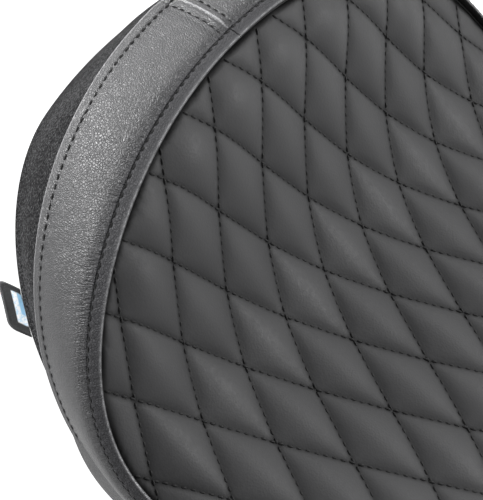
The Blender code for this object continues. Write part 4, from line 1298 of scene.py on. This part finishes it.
# the floor is clear when looked at from underneath
back = floor_mat.node("ShaderNodeNewGeometry").outputs["Backfacing"]
clear = floor_mat.node("ShaderNodeBsdfTransparent")
mixed = floor_mat.node("ShaderNodeMixShader")
floor_mat.link(back, mixed.inputs["Fac"])
floor_mat.link(floor_mat.bsdf.outputs["BSDF"], mixed.inputs[1])
floor_mat.link(clear.outputs["BSDF"], mixed.inputs[2])
floor_mat.link(mixed.outputs["Shader"], floor_mat.nt.nodes["Material Output"].inputs["Surface"])
mesh = bpy.data.meshes.new("floor")
S = 6.0
mesh.from_pydata([(-S, -S, floor_z), (S, -S, floor_z), (S, S, floor_z), (-S, S, floor_z)], [], [(0, 1, 2, 3)])
mesh.materials.append(floor_mat.mat)
floor = bpy.data.objects.new("floor", mesh)
bpy.context.scene.collection.objects.link(floor)

COVE, ROOM, SHADE = 1.35, 0.44, 0.42
world = bpy.data.worlds.new("studio")
bpy.context.scene.world = world
world.use_nodes = True
bg = world.node_tree.nodes["Background"]
wt = world.node_tree


def world_math(op, a, b=None):
    n = wt.nodes.new("ShaderNodeMath")
    n.operation = op
    for k, v in enumerate((a, b)):
        if v is None:
            continue
        if hasattr(v, "links"):
            wt.links.new(v, n.inputs[k])
        else:
            n.inputs[k].default_value = v
    return n.outputs[0]


def world_ramp(value, lo, hi, a, b):
    n = wt.nodes.new("ShaderNodeMapRange")
    n.interpolation_type = 'SMOOTHSTEP'
    wt.links.new(value, n.inputs["Value"])
    for key, val in zip(("From Min", "From Max", "To Min", "To Max"), (lo, hi, a, b)):
        n.inputs[key].default_value = val
    return n.outputs["Result"]


# a white cove low down, a darker room above it, darkest over the seat's right rear
ray = wt.nodes.new("ShaderNodeTexCoord").outputs["Generated"]
dot = wt.nodes.new("ShaderNodeVectorMath")
dot.operation = 'DOT_PRODUCT'
wt.links.new(ray, dot.inputs[0])
dot.inputs[1].default_value = Vector((-0.80, 0.10, 0.59)).normalized()
sep = wt.nodes.new("ShaderNodeSeparateXYZ")
wt.links.new(ray, sep.inputs[0])
cove = world_ramp(sep.outputs["Z"], 0.10, 0.45, COVE, ROOM)
dark = world_ramp(dot.outputs["Value"], 0.35, 0.90, 1.0, SHADE)
# seen directly, the backdrop is plain white
seen = wt.nodes.new("ShaderNodeLightPath").outputs["Is Camera Ray"]
wt.links.new(world_math('MAXIMUM', world_math('MULTIPLY', cove, dark), world_math('MULTIPLY', seen, 1.05)), bg.inputs["Strength"])
bg.inputs["Color"].default_value = (1.0, 1.0, 1.0, 1.0)

RIGHT = Vector((0.5843, -0.6068, 0.5389))
UP = Vector((0.6492, 0.7479, 0.1383))
BACK = Vector((-0.4870, 0.2691, 0.8309))
centre = Vector((0.0, 0.0, 0.05))


def area(name, direction, dist, size, power, size_y=None):
    light = bpy.data.lights.new(name, 'AREA')
    light.energy = power
    light.size = size
    if size_y:
        light.shape = 'RECTANGLE'
        light.size_y = size_y
    obj = bpy.data.objects.new(name, light)
    d = Vector(direction).normalized()
    obj.location = centre + d * dist
    obj.rotation_euler = (-d).to_track_quat('-Z', 'Y').to_euler()
    bpy.context.scene.collection.objects.link(obj)
    return obj


area("key_softbox", (0.487, -0.269, 0.831), 1.7, 0.9, 13.5, 0.9)
area("rear_softbox", (0.75, 0.41, 0.75), 1.6, 0.5, 5.0, 0.9)
strip = area("tail_strip", (-0.22, 0.93, 0.28), 1.3, 0.62, 42.0, 0.36)
strip_left = area("tail_strip_left", (0.30, 0.88, 0.36), 1.4, 0.6, 3.5, 0.35)
# the low strips are flagged off everything but the side bands and the tag
band_set = bpy.data.collections.new("strip_receivers")
for obj in BAND_OBJECTS + [TAG_OBJECT]:
    band_set.objects.link(obj)
for lamp in (strip, strip_left):
    lamp.light_linking.receiver_collection = band_set


cam_data = bpy.data.cameras.new("camera")
cam_data.sensor_width = 36.0
cam_data.lens = 1330.0 * 36.0 / 500.0
cam_data.clip_start = 0.02
cam = bpy.data.objects.new("camera", cam_data)
bpy.context.scene.collection.objects.link(cam)
pos = Vector((-0.3694, 0.2133, 0.5472 + BUCKET_Z * MM))
cam.matrix_world = Matrix(((RIGHT.x, UP.x, BACK.x, pos.x), (RIGHT.y, UP.y, BACK.y, pos.y),
                           (RIGHT.z, UP.z, BACK.z, pos.z), (0, 0, 0, 1)))
bpy.context.scene.camera = cam
bpy.context.scene.view_settings.view_transform = 'Standard'

bpy.context.view_layer.update()
